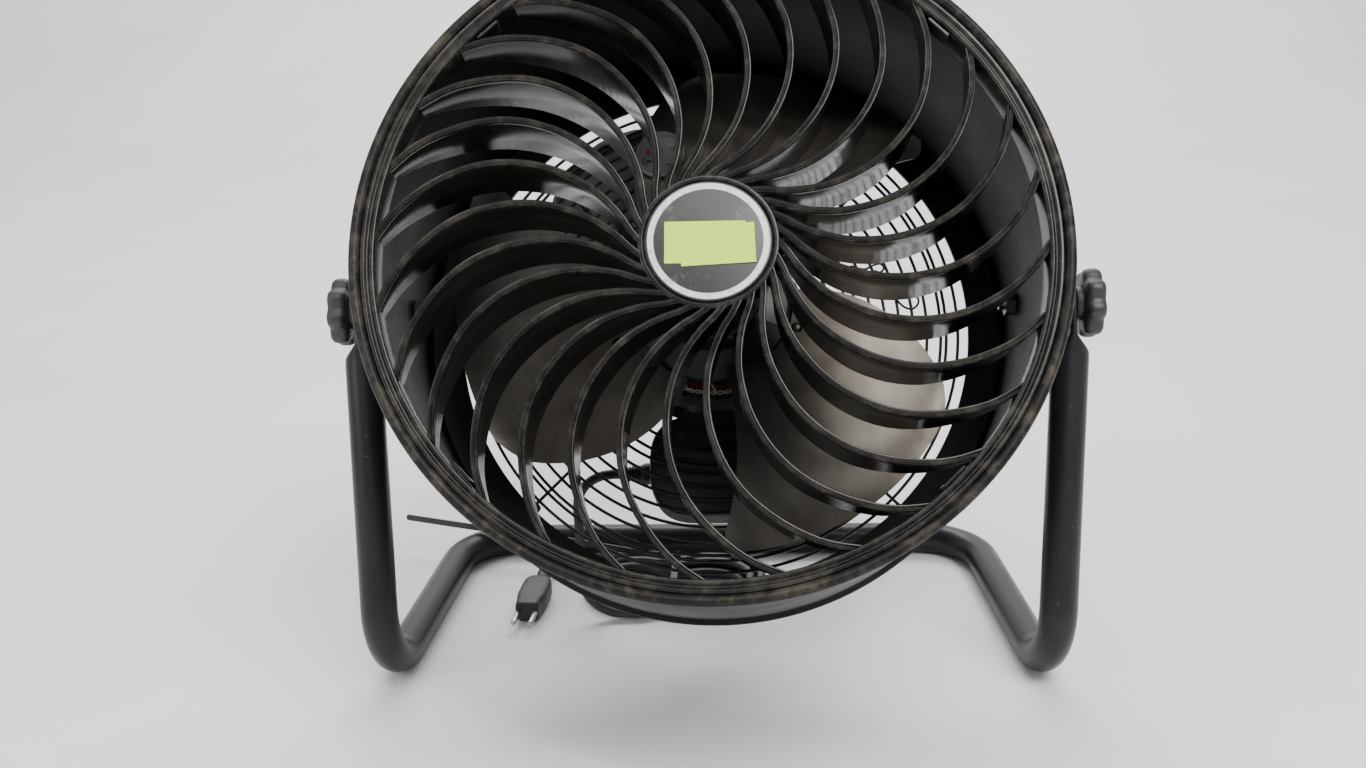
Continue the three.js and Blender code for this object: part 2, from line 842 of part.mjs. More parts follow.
function fanHub() {
  const top = impellerStation + cupDepth / 2;
  const bottom = impellerStation - cupDepth / 2;
  const cup = turned(
    [
      [shaftHole, top - 8],
      [cupNose, top - 8],
      [cupNose, top - cupWall],
      [cupRadius - cupWall, top - cupWall],
      [cupRadius - cupWall, bottom],
      [cupRadius, bottom],
      [cupRadius, top - 3],
      [cupRadius - 3, top],
      [shaftHole, top],
    ],
    20,
  );
  const arms = Array.from({ length: bladeCount }, (_, k) => {
    const offset = -bladeWall - armGap;
    const radii = [cupRadius - cupWall / 2, bladeRadius(0), bladeRadius(bladeShares[1])];
    const sheet = bladeSheet(
      radii.map((radius) => [radius, 1]),
      armSteps,
      offset,
      bladeWall,
    );
    return solid(sheet.rotateZ(degrees(bladeFirstAngle + (360 / bladeCount) * k)));
  });
  return joined([solid(cup), ...arms]);
}

const hubTop = impellerStation + cupDepth / 2;
const rearBearingBack = rearBellBack + 5;
const shaftBack = rearBearingBack + 0.5;

addPiece(impeller, "fan_hub", fanHub(), bladeMetal);
for (let k = 0; k < bladeCount; k++) {
  const turn = degrees(bladeFirstAngle + (360 / bladeCount) * k);
  addPiece(impeller, "blade_" + (k + 1), blade(turn), bladeMetal);
}
const upperTurn = degrees(bladeFirstAngle + 360 / bladeCount);
addPiece(impeller, "blade_disc", bladeDisc(upperTurn), switchPlastic);
const shaft = bar(shaftRadius, shaftBack, hubTop + collarLength + 2, 20);
addPiece(impeller, "motor_shaft", solid(shaft), steel);
const collar = turned(
  [
    [shaftHole, hubTop + clearance],
    [collarRadius, hubTop + clearance],
    [collarRadius, hubTop + clearance + collarLength],
    [shaftHole, hubTop + clearance + collarLength],
  ],
  14,
);
addPiece(impeller, "shaft_collar", solid(collar), steel);
const rotor = turned(
  [
    [shaftHole, stackBack + 1],
    [stackBore - airGap, stackBack + 1],
    [stackBore - airGap, stackFront - 1],
    [shaftHole, stackFront - 1],
  ],
  20,
);
addPiece(impeller, "motor_rotor", solid(rotor), steel);

// ---------------------------------------------------------------- motor
const pocket = bearingRadius + clearance;
const bearingFront = bellFront - bellWall + 0.1;

function frontBell() {
  const rim = bellRimRadius;
  const bell = turned(
    [
      [shaftHole + 1.5, bellFront],
      [bellNose, bellFront],
      [rim, bellRimStation],
      [rim, bellRimStation - 4],
      [rim - 3, bellRimStation - 4],
      [rim - 3, bellRimStation - 2],
      [bellNose - 1, bellFront - bellWall],
      [pocket + 3, bellFront - bellWall],
      [pocket + 3, bearingFront - bearingLength],
      [pocket, bearingFront - bearingLength],
      [pocket, bearingFront],
      [shaftHole + 1.5, bearingFront],
    ],
    18,
  );
  const legInner = windingInner + 2 * windingPitch + windingWire / 2 + 1.2;
  const legs = diagonals.map((angle) => {
    const top = bellRimStation - 1;
    const across = block(motorRadius - rim + 4, 10, 3, (motorRadius + rim - 4) / 2, 0, top - 1.5);
    const height = top - stackFront - clearance;
    const down = block(
      motorRadius - legInner,
      10,
      height,
      (motorRadius + legInner) / 2,
      0,
      top - height / 2,
    );
    return joined([solid(across.rotateZ(angle)), solid(down.rotateZ(angle))]);
  });
  return joined([solid(bell), ...legs]);
}

function bearing(front) {
  return turned(
    [
      [shaftHole, front - bearingLength],
      [bearingRadius, front - bearingLength],
      [bearingRadius, front],
      [shaftHole, front],
    ],
    12,
  );
}

function statorStack() {
  return turned(
    [
      [stackBore, stackBack],
      [motorRadius, stackBack],
      [motorRadius, stackFront],
      [stackBore, stackFront],
    ],
    24,
  );
}

// The front overhang of the winding: turns that spiral out, climb and spiral in again.
function windingPoints() {
  const steps = 24;
  const low = stackFront + clearance + windingWire / 2;
  const points = [];
  for (let i = 0; i <= 2 * windingTurns * steps; i++) {
    const turn = i / steps;
    const reach = windingTurns - Math.abs(windingTurns - turn);
    const climb = THREE.MathUtils.smoothstep(turn, windingTurns - 0.25, windingTurns + 0.25);
    const spot = polar(windingInner + windingPitch * reach, 2 * Math.PI * turn);
    points.push(new THREE.Vector3(spot.x, spot.y, low + climb * (windingWire + windingClearance + 0.2)));
  }
  return points;
}

function rearWinding() {
  const inner = windingInner - windingWire / 2;
  const outer = motorRadius - 7;
  const top = stackBack - clearance;
  return turned(
    [
      [inner, top - 10],
      [inner + 2, top - 12],
      [outer - 2, top - 12],
      [outer, top - 10],
      [outer, top],
      [inner, top],
    ],
    20,
  );
}

const spiderFront = guardStation - 2.7 * wireRadius - clearance;
const spiderBack = spiderFront - spiderWall;
const screwReach = motorRadius + spiderRing / 2 + clearance + 0.5;
const screwRadius = 2;

function rearBell() {
  const top = stackBack - clearance;
  const wall = 3.5;
  const cup = turned(
    [
      [0, rearBellBack],
      [motorRadius - 12, rearBellBack],
      [motorRadius, rearBellBack + 8],
      [motorRadius, top],
      [motorRadius - wall, top],
      [motorRadius - wall, rearBellBack + 9.5],
      [motorRadius - 13, rearBellBack + wall],
      [pocket + 3, rearBellBack + wall],
      [pocket + 3, rearBearingBack + bearingLength],
      [pocket, rearBearingBack + bearingLength],
      [pocket, rearBellBack + wall],
      [0, rearBellBack + wall],
    ],
    20,
  );
  const ears = diagonals.map((angle) => {
    const from = spiderBack - clearance - earDepth;
    const ear = block(earLength, earWidth, earDepth, motorRadius + 3.5, 0, from + earDepth / 2);
    const spot = polar(screwReach, angle);
    const tapped = bar(screwRadius + clearance, from - 1, from + earDepth + 1, 8);
    return solid(ear.rotateZ(angle)).subtract(solid(tapped.translate(spot.x, spot.y, 0)));
  });
  return joined([solid(cup), ...ears]);
}

function motorSpider() {
  const ring = solid(
    plate(circle(motorRadius + clearance + 0.5 + spiderRing, 24), spiderBack, spiderFront),
  );
  const arms = diagonals.map((angle) => {
    const from = motorRadius + 2;
    const arm = block(
      spiderReach - from,
      spiderArmWidth,
      spiderWall,
      (spiderReach + from) / 2,
      0,
      (spiderBack + spiderFront) / 2,
    );
    return solid(arm.rotateZ(angle));
  });
  const bore = solid(bar(motorRadius + clearance + 0.5, spiderBack - 1, spiderFront + 1, 24));
  const holes = diagonals.map((angle) => {
    const spot = polar(screwReach, angle);
    return solid(
      bar(screwRadius + clearance, spiderBack - 1, spiderFront + 1, 8).translate(spot.x, spot.y, 0),
    );
  });
  return cutFrom(joined([ring, ...arms]), [bore, ...holes]);
}

addPiece(headGroup, "motor_front_bell", frontBell(), motorPaint);
addPiece(headGroup, "bearing_front", solid(bearing(bearingFront - 0.1)), steel);
addPiece(headGroup, "stator_stack", solid(statorStack()), motorPaint);
const winding = windingPoints();
console.log("winding's least gap to itself", leastGap(winding, windingWire / 2, 12).toFixed(2), "mm");
addPiece(headGroup, "stator_winding", solid(woundTube(winding, windingWire / 2, 6)), copper);
addPiece(headGroup, "rear_winding", solid(rearWinding()), copper);
addPiece(headGroup, "motor_rear_bell", rearBell(), motorPaint);
addPiece(headGroup, "bearing_rear", solid(bearing(rearBearingBack + bearingLength)), steel);
addPiece(headGroup, "motor_spider", motorSpider(), wirePaint);

diagonals.forEach((angle, k) => {
  const spot = polar(screwReach, angle);
  const head = bar(3.4, spiderFront + clearance, spiderFront + clearance + 2.4, 6);
  const shank = bar(screwRadius, spiderBack - 4.5, spiderFront + clearance + 1, 6);
  const screw = joined([solid(head.translate(spot.x, spot.y, 0)), solid(shank.translate(spot.x, spot.y, 0))]);
  addPiece(headGroup, "spider_screw_" + (k + 1), screw, steel);
});

// ---------------------------------------------------------------- terminal box
const boxTop = -motorRadius - clearance - 0.3;
const boxMiddle = boxTop - boxHeight / 2;
const boxFront = spiderBack - clearance;
const boxBack = boxFront - boxDepth;

function terminalBox() {
  const outer = roundedRectangle(boxWidth, boxHeight, boxCorner, 6, 0, boxMiddle);
  const inner = roundedRectangle(
    boxWidth - 2 * boxWall,
    boxHeight - 2 * boxWall,
    boxCorner - boxWall,
    6,
    0,
    boxMiddle,
  );
  const shell = solid(plate(outer, boxBack, boxFront));
  const hollow = solid(plate(inner, boxBack - 1, boxFront - boxWall));
  const entry = bar(cordRadius + clearance + 1, -boxWidth, 0, 12)
    .rotateY(Math.PI / 2)
    .translate(0, glandDrop, glandStation);
  return shell.subtract(hollow).subtract(solid(entry));
}

function boxCover() {
  const outline = roundedRectangle(boxWidth, boxHeight, boxCorner, 6, 0, boxMiddle);
  return solid(plate(outline, boxBack - clearance - coverWall, boxBack - clearance));
}

const glandEnd = boxWidth / 2 + clearance + glandLength;

function cordGland() {
  const wall = glandEnd - glandLength;
  const collar = turned(
    [
      [0, wall],
      [glandRadius, wall],
      [glandRadius, wall + 5],
      [glandRadius - 1.6, wall + 6],
      [cordRadius + 1.2, glandEnd],
      [0, glandEnd],
    ],
    16,
  );
  return solid(collar.rotateY(-Math.PI / 2).translate(0, glandDrop, glandStation));
}

addPiece(headGroup, "terminal_box", terminalBox(), blackPlastic);
addPiece(headGroup, "box_cover", boxCover(), blackPlastic);
const capacitor = bar(capacitorRadius, -capacitorLength / 2, capacitorLength / 2, 20)
  .rotateY(Math.PI / 2)
  .translate(8, boxMiddle - 6, (boxFront + boxBack) / 2);
addPiece(headGroup, "run_capacitor", solid(capacitor), blackPlastic);
addPiece(headGroup, "cord_gland", cordGland(), cordJacket);

// ---------------------------------------------------------------- speed switch
const switchGap = guardPair + guardPitch * 3.4; // between two of the guard's rings
const switchSpot = polar(switchGap, degrees(switchAngle));
const housingFront = spiderBack - clearance;
const housingBack = housingFront - housingDepth;
const housingFloor = housingBack + housingWall;

function switchHousing() {
  const [x, y] = housingMiddle;
  const outer = bar(housingRadius, housingBack, housingFront, 34).translate(x, y, 0);
  const inner = bar(housingRadius - housingWall, housingFloor, housingFront + 1, 34).translate(x, y, 0);
  const relief = bar(housingRelief, housingBack - 1, housingFront + 1, 34);
  const wallInside = bar(housingRelief + housingWall, housingBack - 1, housingFront + 1, 34);
  const spindle = bar(5.5, housingBack - 1, housingFloor + 1, 10).translate(switchSpot.x, switchSpot.y, 0);
  const hollow = solid(inner).subtract(solid(wallInside));
  return cutFrom(solid(outer), [hollow, solid(relief), solid(spindle)]);
}

function speedSwitch() {
  const from = housingFloor + clearance;
  const front = guardStation + wireRadius + clearance;
  const profile = [
    [0, from],
    [switchBody, from],
    [switchBody, housingFront - 1],
    [switchStem, housingFront - 1],
    [switchStem, front],
    [switchRadius + 2.5, front],
    [switchRadius + 2.5, front + 2],
    [switchRadius, front + 2.5],
    [switchRadius - 1, front + switchDepth],
    [0, front + switchDepth],
  ];
  return solid(turned(profile, 14).translate(switchSpot.x, switchSpot.y, 0));
}

function speedDial() {
  const seat = housingBack - clearance;
  const grip = solid(bar(dialRadius, seat - dialLength, seat, 20));
  const spindle = solid(bar(4, seat - 2, housingFloor, 10));
  const pointer = solid(block(3, dialRadius - 2, 2.5, 0, dialRadius / 2, seat - dialLength - 1));
  return joined([grip, spindle, pointer]);
}

addPiece(headGroup, "switch_housing", switchHousing(), blackPlastic);
addPiece(headGroup, "speed_switch", speedSwitch(), switchPlastic);
const dial = addPiece(headGroup, "speed_dial", speedDial(), blackPlastic);
dial.position.set(switchSpot.x, switchSpot.y, 0);

// ---------------------------------------------------------------- cord
const vectors = (list) => list.map((p) => new THREE.Vector3(...p));

// The middle line of the hank: turns that run out and back with round folds, drawn in at the waist.
function hankPoint(turn) {
  const inset = hankPitch * (hankReversal - Math.abs(hankReversal - turn));
  const fold = hankFold - inset;
  const quarter = (turn % 1) * 4;
  const part = Math.floor(quarter);
  const share = quarter - part;
  const climb = THREE.MathUtils.smoothstep(turn, hankReversal - 0.25, hankReversal + 0.25);
  const height = hankFloor + climb * hankLayer;
  const spot = new THREE.Vector3(hankMiddle[0], hankMiddle[1], height);
  if (part % 2 === 0) {
    const facing = part === 0 ? 1 : -1;
    const inward = THREE.MathUtils.clamp((share - 0.1) / 0.8, 0, 1);
    const drawn = hankWaist * Math.sin(Math.PI * inward) ** 2;
    spot.x += facing * hankHalfRun * (2 * share - 1);
    spot.y -= facing * (fold - drawn);
  } else {
    const facing = part === 1 ? 1 : -1;
    const angle = Math.PI * (share - 0.5);
    spot.x += facing * (hankHalfRun + fold * Math.cos(angle));
    spot.y += facing * fold * Math.sin(angle);
  }
  return spot;
}

function hankPoints() {
  const count = Math.round((hankEnd - hankStart) * 24);
  const points = [];
  for (let i = 0; i <= count; i++) {
    points.push(hankPoint(hankStart + ((hankEnd - hankStart) * i) / count));
  }
  const lead = points[0].clone().sub(hankPoint(hankStart + 0.001)).normalize();
  const trail = points.at(-1).clone().sub(hankPoint(hankEnd - 0.001)).normalize();
  points.unshift(points[0].clone().addScaledVector(lead, 2 * cordRadius));
  points.push(points.at(-1).clone().addScaledVector(trail, 2 * cordRadius));
  return points;
}

const hank = hankPoints();
const cordSides = 8;
const hankIn = hank[0].clone().sub(hank[1]).setLength(clearance).add(hank[0]);
const hankOut = hank.at(-1).clone().sub(hank.at(-2)).setLength(clearance).add(hank.at(-1));
console.log("hank's least gap to itself", leastGap(hank, cordRadius, 12).toFixed(2), "mm");
const glandMouth = standGroup.worldToLocal(
  headGroup.localToWorld(new THREE.Vector3(-glandEnd, glandDrop, glandStation)),
);
const drop = [...vectors(glandRoute).map((step) => step.add(glandMouth)), ...vectors(dropRoute)];
const landing = [...vectors(landingRoute), hankIn];
const tail = [hankOut, ...vectors(tailRoute)];
addPiece(standGroup, "cord_drop", solid(tubeAlong(drop, cordRadius, cordSides)), cordJacket);
addPiece(standGroup, "cord_landing", solid(tubeAlong(landing, cordRadius, cordSides)), cordJacket);
addPiece(standGroup, "cord_hank", solid(woundTube(hank, cordRadius, 6)), cordJacket);
addPiece(standGroup, "cord_tail", solid(tubeAlong(tail, cordRadius, cordSides)), cordJacket);

// A strap round the hank's waist with its long tail.
function cordTie() {
  const across = hankFold - hankWaist + cordRadius + 1;
  const front = hankMiddle[1] - across + hankPitch / 8;
  const rear = hankMiddle[1] + across - (hankPitch * 5) / 8;
  const width = rear - front;
  const height = hankLayer + 2 * cordRadius + 1;
  const middle = hankFloor + hankLayer / 2;
  const loop = plate(
    roundedRectangle(width + 2 * tieWall, height + 2 * tieWall, 5, 2, 0, 0),
    -tieWidth / 2,
    tieWidth / 2,
    [roundedRectangle(width, height, 5 - tieWall, 2, 0, 0)],
  )
    .rotateX(Math.PI / 2)
    .rotateZ(Math.PI / 2)
    .translate(hankMiddle[0], (front + rear) / 2, middle);
  const lockSpot = new THREE.Vector3(hankMiddle[0], rear - 8, middle + height / 2 + 2.4);
  const lock = block(8, 7, 4.8, lockSpot.x, lockSpot.y, lockSpot.z);
  const strap = new THREE.Shape([
    new THREE.Vector2(-tieWall / 2, -tieWidth / 2),
    new THREE.Vector2(tieWall / 2, -tieWidth / 2),
    new THREE.Vector2(tieWall / 2, tieWidth / 2),
    new THREE.Vector2(-tieWall / 2, tieWidth / 2),
  ]);
  const reach = [lockSpot, ...vectors(tieTail)];
  const free = new THREE.ExtrudeGeometry(strap, {
    extrudePath: new StationCurve(reach),
    steps: reach.length - 1,
  });
  return joined([solid(loop), solid(lock), solid(free)]);
}

addPiece(standGroup, "cord_tie", cordTie(), cordJacket);

// ---------------------------------------------------------------- plug
const plugGroup = new THREE.Group();
const plugAim = new THREE.Vector2(plugTip[0] - plugEnd[0], plugTip[1] - plugEnd[1]);
const plugLength = plugAim.length() - pinLength;
plugGroup.position.set(plugEnd[0], plugEnd[1], plugLift);
plugGroup.rotation.z = Math.atan2(plugAim.y, plugAim.x);
standGroup.add(plugGroup);

// Half the plug's outline along its length, from the cord's end to the pins' face.
const plugOutline = [
  [0, 5],
  [0.26, 6],
  [0.32, 9.6],
  [0.46, 11.8],
  [0.72, 11.8],
  [0.88, 10],
  [1, 9.6],
];

function plugBody() {
  const half = plugOutline.map(([share, width]) => [share * plugLength, width]);
  const outline = [
    ...half.map(([x, y]) => new THREE.Vector2(x, -y)),
    ...half.reverse().map(([x, y]) => new THREE.Vector2(x, y)),
  ];
  const level = (share, z) => outline.map((p) => new THREE.Vector3(p.x, p.y * share, z));
  const rings = [level(0.82, 0), level(1, 3.5), level(1, plugHeight - 3.5), level(0.82, plugHeight)];
  return solid(skin(rings));
}

addPiece(plugGroup, "plug_body", plugBody(), cordJacket);
Object.values(sideNames).forEach((s, k) => {
  const pin = bar(pinRadius, plugLength + clearance, plugLength + pinLength, 10)
    .rotateY(Math.PI / 2)
    .translate(0, (s * pinSpread) / 2, plugHeight / 2);
  addPiece(plugGroup, "plug_pin_" + (k + 1), solid(pin), steel);
});

export default root;
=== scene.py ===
"""Dressed scene of a drum fan that tilts in a bent tube stand. Metres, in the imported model's frame."""
import math

import bmesh
import bpy
from mathutils import Matrix, Vector


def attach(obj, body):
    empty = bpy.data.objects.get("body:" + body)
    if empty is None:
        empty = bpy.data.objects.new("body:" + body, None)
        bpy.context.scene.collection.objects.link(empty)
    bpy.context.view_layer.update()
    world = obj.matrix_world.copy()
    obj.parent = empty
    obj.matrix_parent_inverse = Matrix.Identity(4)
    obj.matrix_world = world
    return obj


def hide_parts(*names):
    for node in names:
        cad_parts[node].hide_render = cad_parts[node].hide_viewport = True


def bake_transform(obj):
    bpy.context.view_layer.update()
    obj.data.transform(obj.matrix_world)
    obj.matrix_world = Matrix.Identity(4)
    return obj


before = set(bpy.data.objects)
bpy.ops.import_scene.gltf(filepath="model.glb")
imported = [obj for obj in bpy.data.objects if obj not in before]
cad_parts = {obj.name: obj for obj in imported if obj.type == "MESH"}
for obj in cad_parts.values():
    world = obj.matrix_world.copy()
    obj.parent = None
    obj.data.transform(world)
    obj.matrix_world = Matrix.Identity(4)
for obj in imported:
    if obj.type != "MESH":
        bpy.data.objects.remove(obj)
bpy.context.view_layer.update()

# ---- shared values, in millimetres
MM = 0.001
SETBACK = 30.4
HEIGHT = 255.2
TILT = math.radians(31.55)
AXIS = Vector((0, -math.cos(TILT), math.sin(TILT)))
UPWARD = Vector((0, math.sin(TILT), math.cos(TILT)))
PIVOT = Vector((0, SETBACK, HEIGHT))
DRUM = 209.5
CORD = 3.6
DIAGONALS = [math.radians(a) for a in (45, 135, 225, 315)]


def head(point):
    """A point of the drum's own frame: right, up and forwards along its axis."""
    x, u, s = point
    return (PIVOT + Vector((x, 0, 0)) + UPWARD * u + AXIS * s) * MM


def ground(point):
    """A point counted from the floor under the pivot axis."""
    x, y, z = point
    return Vector((x, y + SETBACK, z)) * MM


def polar(radius, angle):
    return radius * math.cos(angle), radius * math.sin(angle)


# ---- shapes: lists of points and faces
def merge(*shapes):
    """Several shapes as one."""
    points, faces = [], []
    for more_points, more_faces in shapes:
        base = len(points)
        points += list(more_points)
        faces += [tuple(base + i for i in face) for face in more_faces]
    return points, faces


def moved(shape, offset=(0, 0, 0), angle=0.0):
    """A shape turned about the Z axis and then shifted."""
    turn = Matrix.Rotation(angle, 3, "Z")
    shift = Vector(offset)
    return [tuple(turn @ Vector(p) + shift) for p in shape[0]], shape[1]


def turned(shape, angle):
    """A shape turned about the Z axis by an angle in radians."""
    return moved(shape, (0, 0, 0), angle)


def along_x(shape, side=1):
    """A shape about the Z axis laid along the X axis, outwards on one side."""
    return [(side * p[2], p[0], p[1]) for p in shape[0]], shape[1]


def fillet(points, radius, steps=4, closed=True):
    """A flat outline whose corners are rounded. A point may carry its own radius as a third number."""
    out = []
    for i, corner in enumerate(points):
        spot = Vector(corner[:2])
        reach = corner[2] if len(corner) > 2 else radius
        if reach == 0 or (not closed and i in (0, len(points) - 1)):
            out.append(spot)
            continue
        back = Vector(points[i - 1][:2]) - spot
        ahead = Vector(points[(i + 1) % len(points)][:2]) - spot
        limit = 0.48 * min(back.length, ahead.length)
        back.normalize()
        ahead.normalize()
        angle = back.angle(ahead)
        if angle > 3.1:
            out.append(spot)
            continue
        cut = min(reach / math.tan(angle / 2), limit)
        for k in range(steps + 1):
            f = k / steps
            first, last = spot + back * cut, spot + ahead * cut
            out.append(first * (1 - f) ** 2 + spot * 2 * f * (1 - f) + last * f * f)
    return [tuple(p) for p in out]


def lathe(profile, sides, closed=True):
    """A profile of (radius, station) turned about the Z axis."""
    n = len(profile)
    points, faces = [], []
    for k in range(sides):
        for radius, station in profile:
            points.append((*polar(radius, 2 * math.pi * k / sides), station))
        after = (k + 1) % sides
        for i in range(n if closed else n - 1):
            j = (i + 1) % n
            faces.append((k * n + i, k * n + j, after * n + j, after * n + i))
    return points, faces


def skin(rings, ends=True):
    """A skin over rings that all have the same count of points."""
    n = len(rings[0])
    points = [tuple(p) for ring in rings for p in ring]
    faces = []
    for i in range(len(rings) - 1):
        for k in range(n):
            j = (k + 1) % n
            faces.append((i * n + k, i * n + j, (i + 1) * n + j, (i + 1) * n + k))
    if ends:
        faces.append(tuple(range(n - 1, -1, -1)))
        faces.append(tuple((len(rings) - 1) * n + k for k in range(n)))
    return points, faces


def tube(path, radius, sides=14, flat=1.0):
    """A tube along points. radius is a number or one number for each point; flat thins it one way."""
    path = [Vector(p) for p in path]
    radii = radius if isinstance(radius, list) else [radius] * len(path)
    rings = []
    aside = None
    for i, point in enumerate(path):
        along = (path[min(i + 1, len(path) - 1)] - path[max(i - 1, 0)]).normalized()
        if aside is None:
            aside = along.cross(Vector((0.3, 0.2, 1))).normalized()
        aside = (aside - along * aside.dot(along)).normalized()
        over = along.cross(aside)
        ring = []
        for k in range(sides):
            a, b = polar(radii[i], 2 * math.pi * k / sides)
            ring.append(point + aside * a + over * b * flat)
        rings.append(ring)
    return skin(rings)


def prism(outline, low, high, edge=0.6):
    """A plate between two heights with softened edges."""
    n = len(outline)
    inner = []
    for i in range(n):
        back = Vector(outline[i]) - Vector(outline[i - 1])
        ahead = Vector(outline[(i + 1) % n]) - Vector(outline[i])
        normal = Vector((-(back.y + ahead.y), back.x + ahead.x))
        normal = normal.normalized() if normal.length else Vector((0, 0))
        inner.append(Vector(outline[i]) + normal * edge)
    rings = [
        [(p[0], p[1], low) for p in inner],
        [(p[0], p[1], low + edge) for p in outline],
        [(p[0], p[1], high - edge) for p in outline],
        [(p[0], p[1], high) for p in inner],
    ]
    return skin(rings)


def rounded_box(width, height, corner, x, y, steps=8):
    """The outline of a rectangle about a point, with rounded corners."""
    w, h = width / 2, height / 2
    corners = [(x + w, y - h), (x + w, y + h), (x - w, y + h), (x - w, y - h)]
    return fillet(corners, corner, steps)


def spline(points, steps):
    """A smooth curve through points of any size, with steps between each two."""
    points = [Vector(p) for p in points]
    out = []
    for i in range(len(points) - 1):
        a = points[max(i - 1, 0)]
        b, c = points[i], points[i + 1]
        d = points[min(i + 2, len(points) - 1)]
        for k in range(steps):
            t = k / steps
            square = (2 * a - 5 * b + 4 * c - d) * t * t
            cube = (3 * b - a - 3 * c + d) * t**3
            out.append(0.5 * (2 * b + (c - a) * t + square + cube))
    out.append(points[-1])
    return out


def rounded_route(corners, bends, steps):
    """A route through corners, each rounded to its bend radius."""
    corners = [Vector(c) for c in corners]
    route = [corners[0]]
    for i, bend in enumerate(bends):
        corner = corners[i + 1]
        back = (corners[i] - corner).normalized()
        ahead = (corners[i + 2] - corner).normalized()
        half = back.angle(ahead) / 2
        middle = corner + (back + ahead).normalized() * bend / math.sin(half)
        reach = bend / math.tan(half)
        start = corner + back * reach - middle
        end = corner + ahead * reach - middle
        sweep = start.angle(end)
        for k in range(steps + 1):
            a = math.sin((1 - k / steps) * sweep) / math.sin(sweep)
            b = math.sin(k / steps * sweep) / math.sin(sweep)
            route.append(middle + start * a + end * b)
    route.append(corners[-1])
    return route


# ---- materials
def node(tree, kind, **values):
    made = tree.nodes.new(kind)
    for key, value in values.items():
        setattr(made, key, value)
    return made


def noise(tree, source, scale, detail=4.0, rough=0.55):
    made = node(tree, "ShaderNodeTexNoise")
    made.inputs["Scale"].default_value = scale
    made.inputs["Detail"].default_value = detail
    made.inputs["Roughness"].default_value = rough
    tree.links.new(source, made.inputs["Vector"])
    return made.outputs["Fac"]


def span(tree, source, low, high, to_low=0.0, to_high=1.0):
    """A value stretched from one range to another."""
    made = node(tree, "ShaderNodeMapRange")
    for socket, value in (("From Min", low), ("From Max", high), ("To Min", to_low), ("To Max", to_high)):
        made.inputs[socket].default_value = value
    tree.links.new(source, made.inputs["Value"])
    return made.outputs["Result"]


def blend_colour(tree, factor, first, second):
    made = node(tree, "ShaderNodeMix", data_type="RGBA")
    tree.links.new(factor, made.inputs[0])
    for socket, value in ((made.inputs[6], first), (made.inputs[7], second)):
        if isinstance(value, tuple):
            socket.default_value = (*value, 1)
        else:
            tree.links.new(value, socket)
    return made.outputs[2]


def multiply(tree, first, second):
    made = node(tree, "ShaderNodeMath", operation="MULTIPLY")
    tree.links.new(first, made.inputs[0])
    tree.links.new(second, made.inputs[1])
    return made.outputs[0]


def station(tree, source, axis, origin):
    """How far a point lies along an axis, in metres."""
    made = node(tree, "ShaderNodeVectorMath", operation="DOT_PRODUCT")
    shift = node(tree, "ShaderNodeVectorMath", operation="SUBTRACT")
    shift.inputs[1].default_value = origin
    made.inputs[1].default_value = axis
    tree.links.new(source, shift.inputs[0])
    tree.links.new(shift.outputs["Vector"], made.inputs[0])
    return made.outputs["Value"]


GREY_DUST = (0.11, 0.1, 0.085)


def surface(name, base, tint, rough, metal=0.0, dust_and_shade=GREY_DUST, cover=(0.62, 0.85), scale=26.0,
            bump=0.15, grain=700.0, specular=0.5, wear=None):
    """A finish: mottled base, dust in patches (on the blades, large dark patches that are partly painted
    shade), uneven gloss, fine grain, and wear near a station.
    """
    made = bpy.data.materials.new(name)
    made.use_nodes = True
    tree = made.node_tree
    shader = tree.nodes["Principled BSDF"]
    place = node(tree, "ShaderNodeTexCoord").outputs["Object"]
    mottle = span(tree, noise(tree, place, 9.0, 5.0, 0.6), 0.35, 0.68)
    colour = blend_colour(tree, mottle, base, tint)
    smear = noise(tree, place, 32.0, 6.0, 0.55)
    gloss = span(tree, smear, 0.25, 0.8, max(rough - 0.05, 0.05), rough + 0.07)
    # dust in patches; on the blades the coarse dark patches are partly painted shade
    patch = span(tree, noise(tree, place, scale, 9.0, 0.68), *cover)
    colour = blend_colour(tree, patch, colour, dust_and_shade)
    speck = span(tree, noise(tree, place, 330.0, 3.0, 0.5), 0.66, 0.74)
    speck = multiply(tree, speck, span(tree, noise(tree, place, 14.0), 0.4, 0.7))
    colour = blend_colour(tree, speck, colour, dust_and_shade)
    if wear:
        low, high, worn = wear
        near = span(tree, station(tree, place, AXIS, PIVOT * MM), low, high)
        rub = multiply(tree, near, span(tree, noise(tree, place, 75.0, 8.0, 0.7), 0.47, 0.66))
        colour = blend_colour(tree, rub, colour, worn)
    tree.links.new(colour, shader.inputs["Base Color"])
    tree.links.new(gloss, shader.inputs["Roughness"])
    shader.inputs["Metallic"].default_value = metal
    shader.inputs["Specular IOR Level"].default_value = specular
    relief = node(tree, "ShaderNodeBump")
    relief.inputs["Strength"].default_value = bump
    relief.inputs["Distance"].default_value = 0.0004
    tree.links.new(noise(tree, place, grain, 3.0, 0.6), relief.inputs["Height"])
    tree.links.new(relief.outputs["Normal"], shader.inputs["Normal"])
    return made


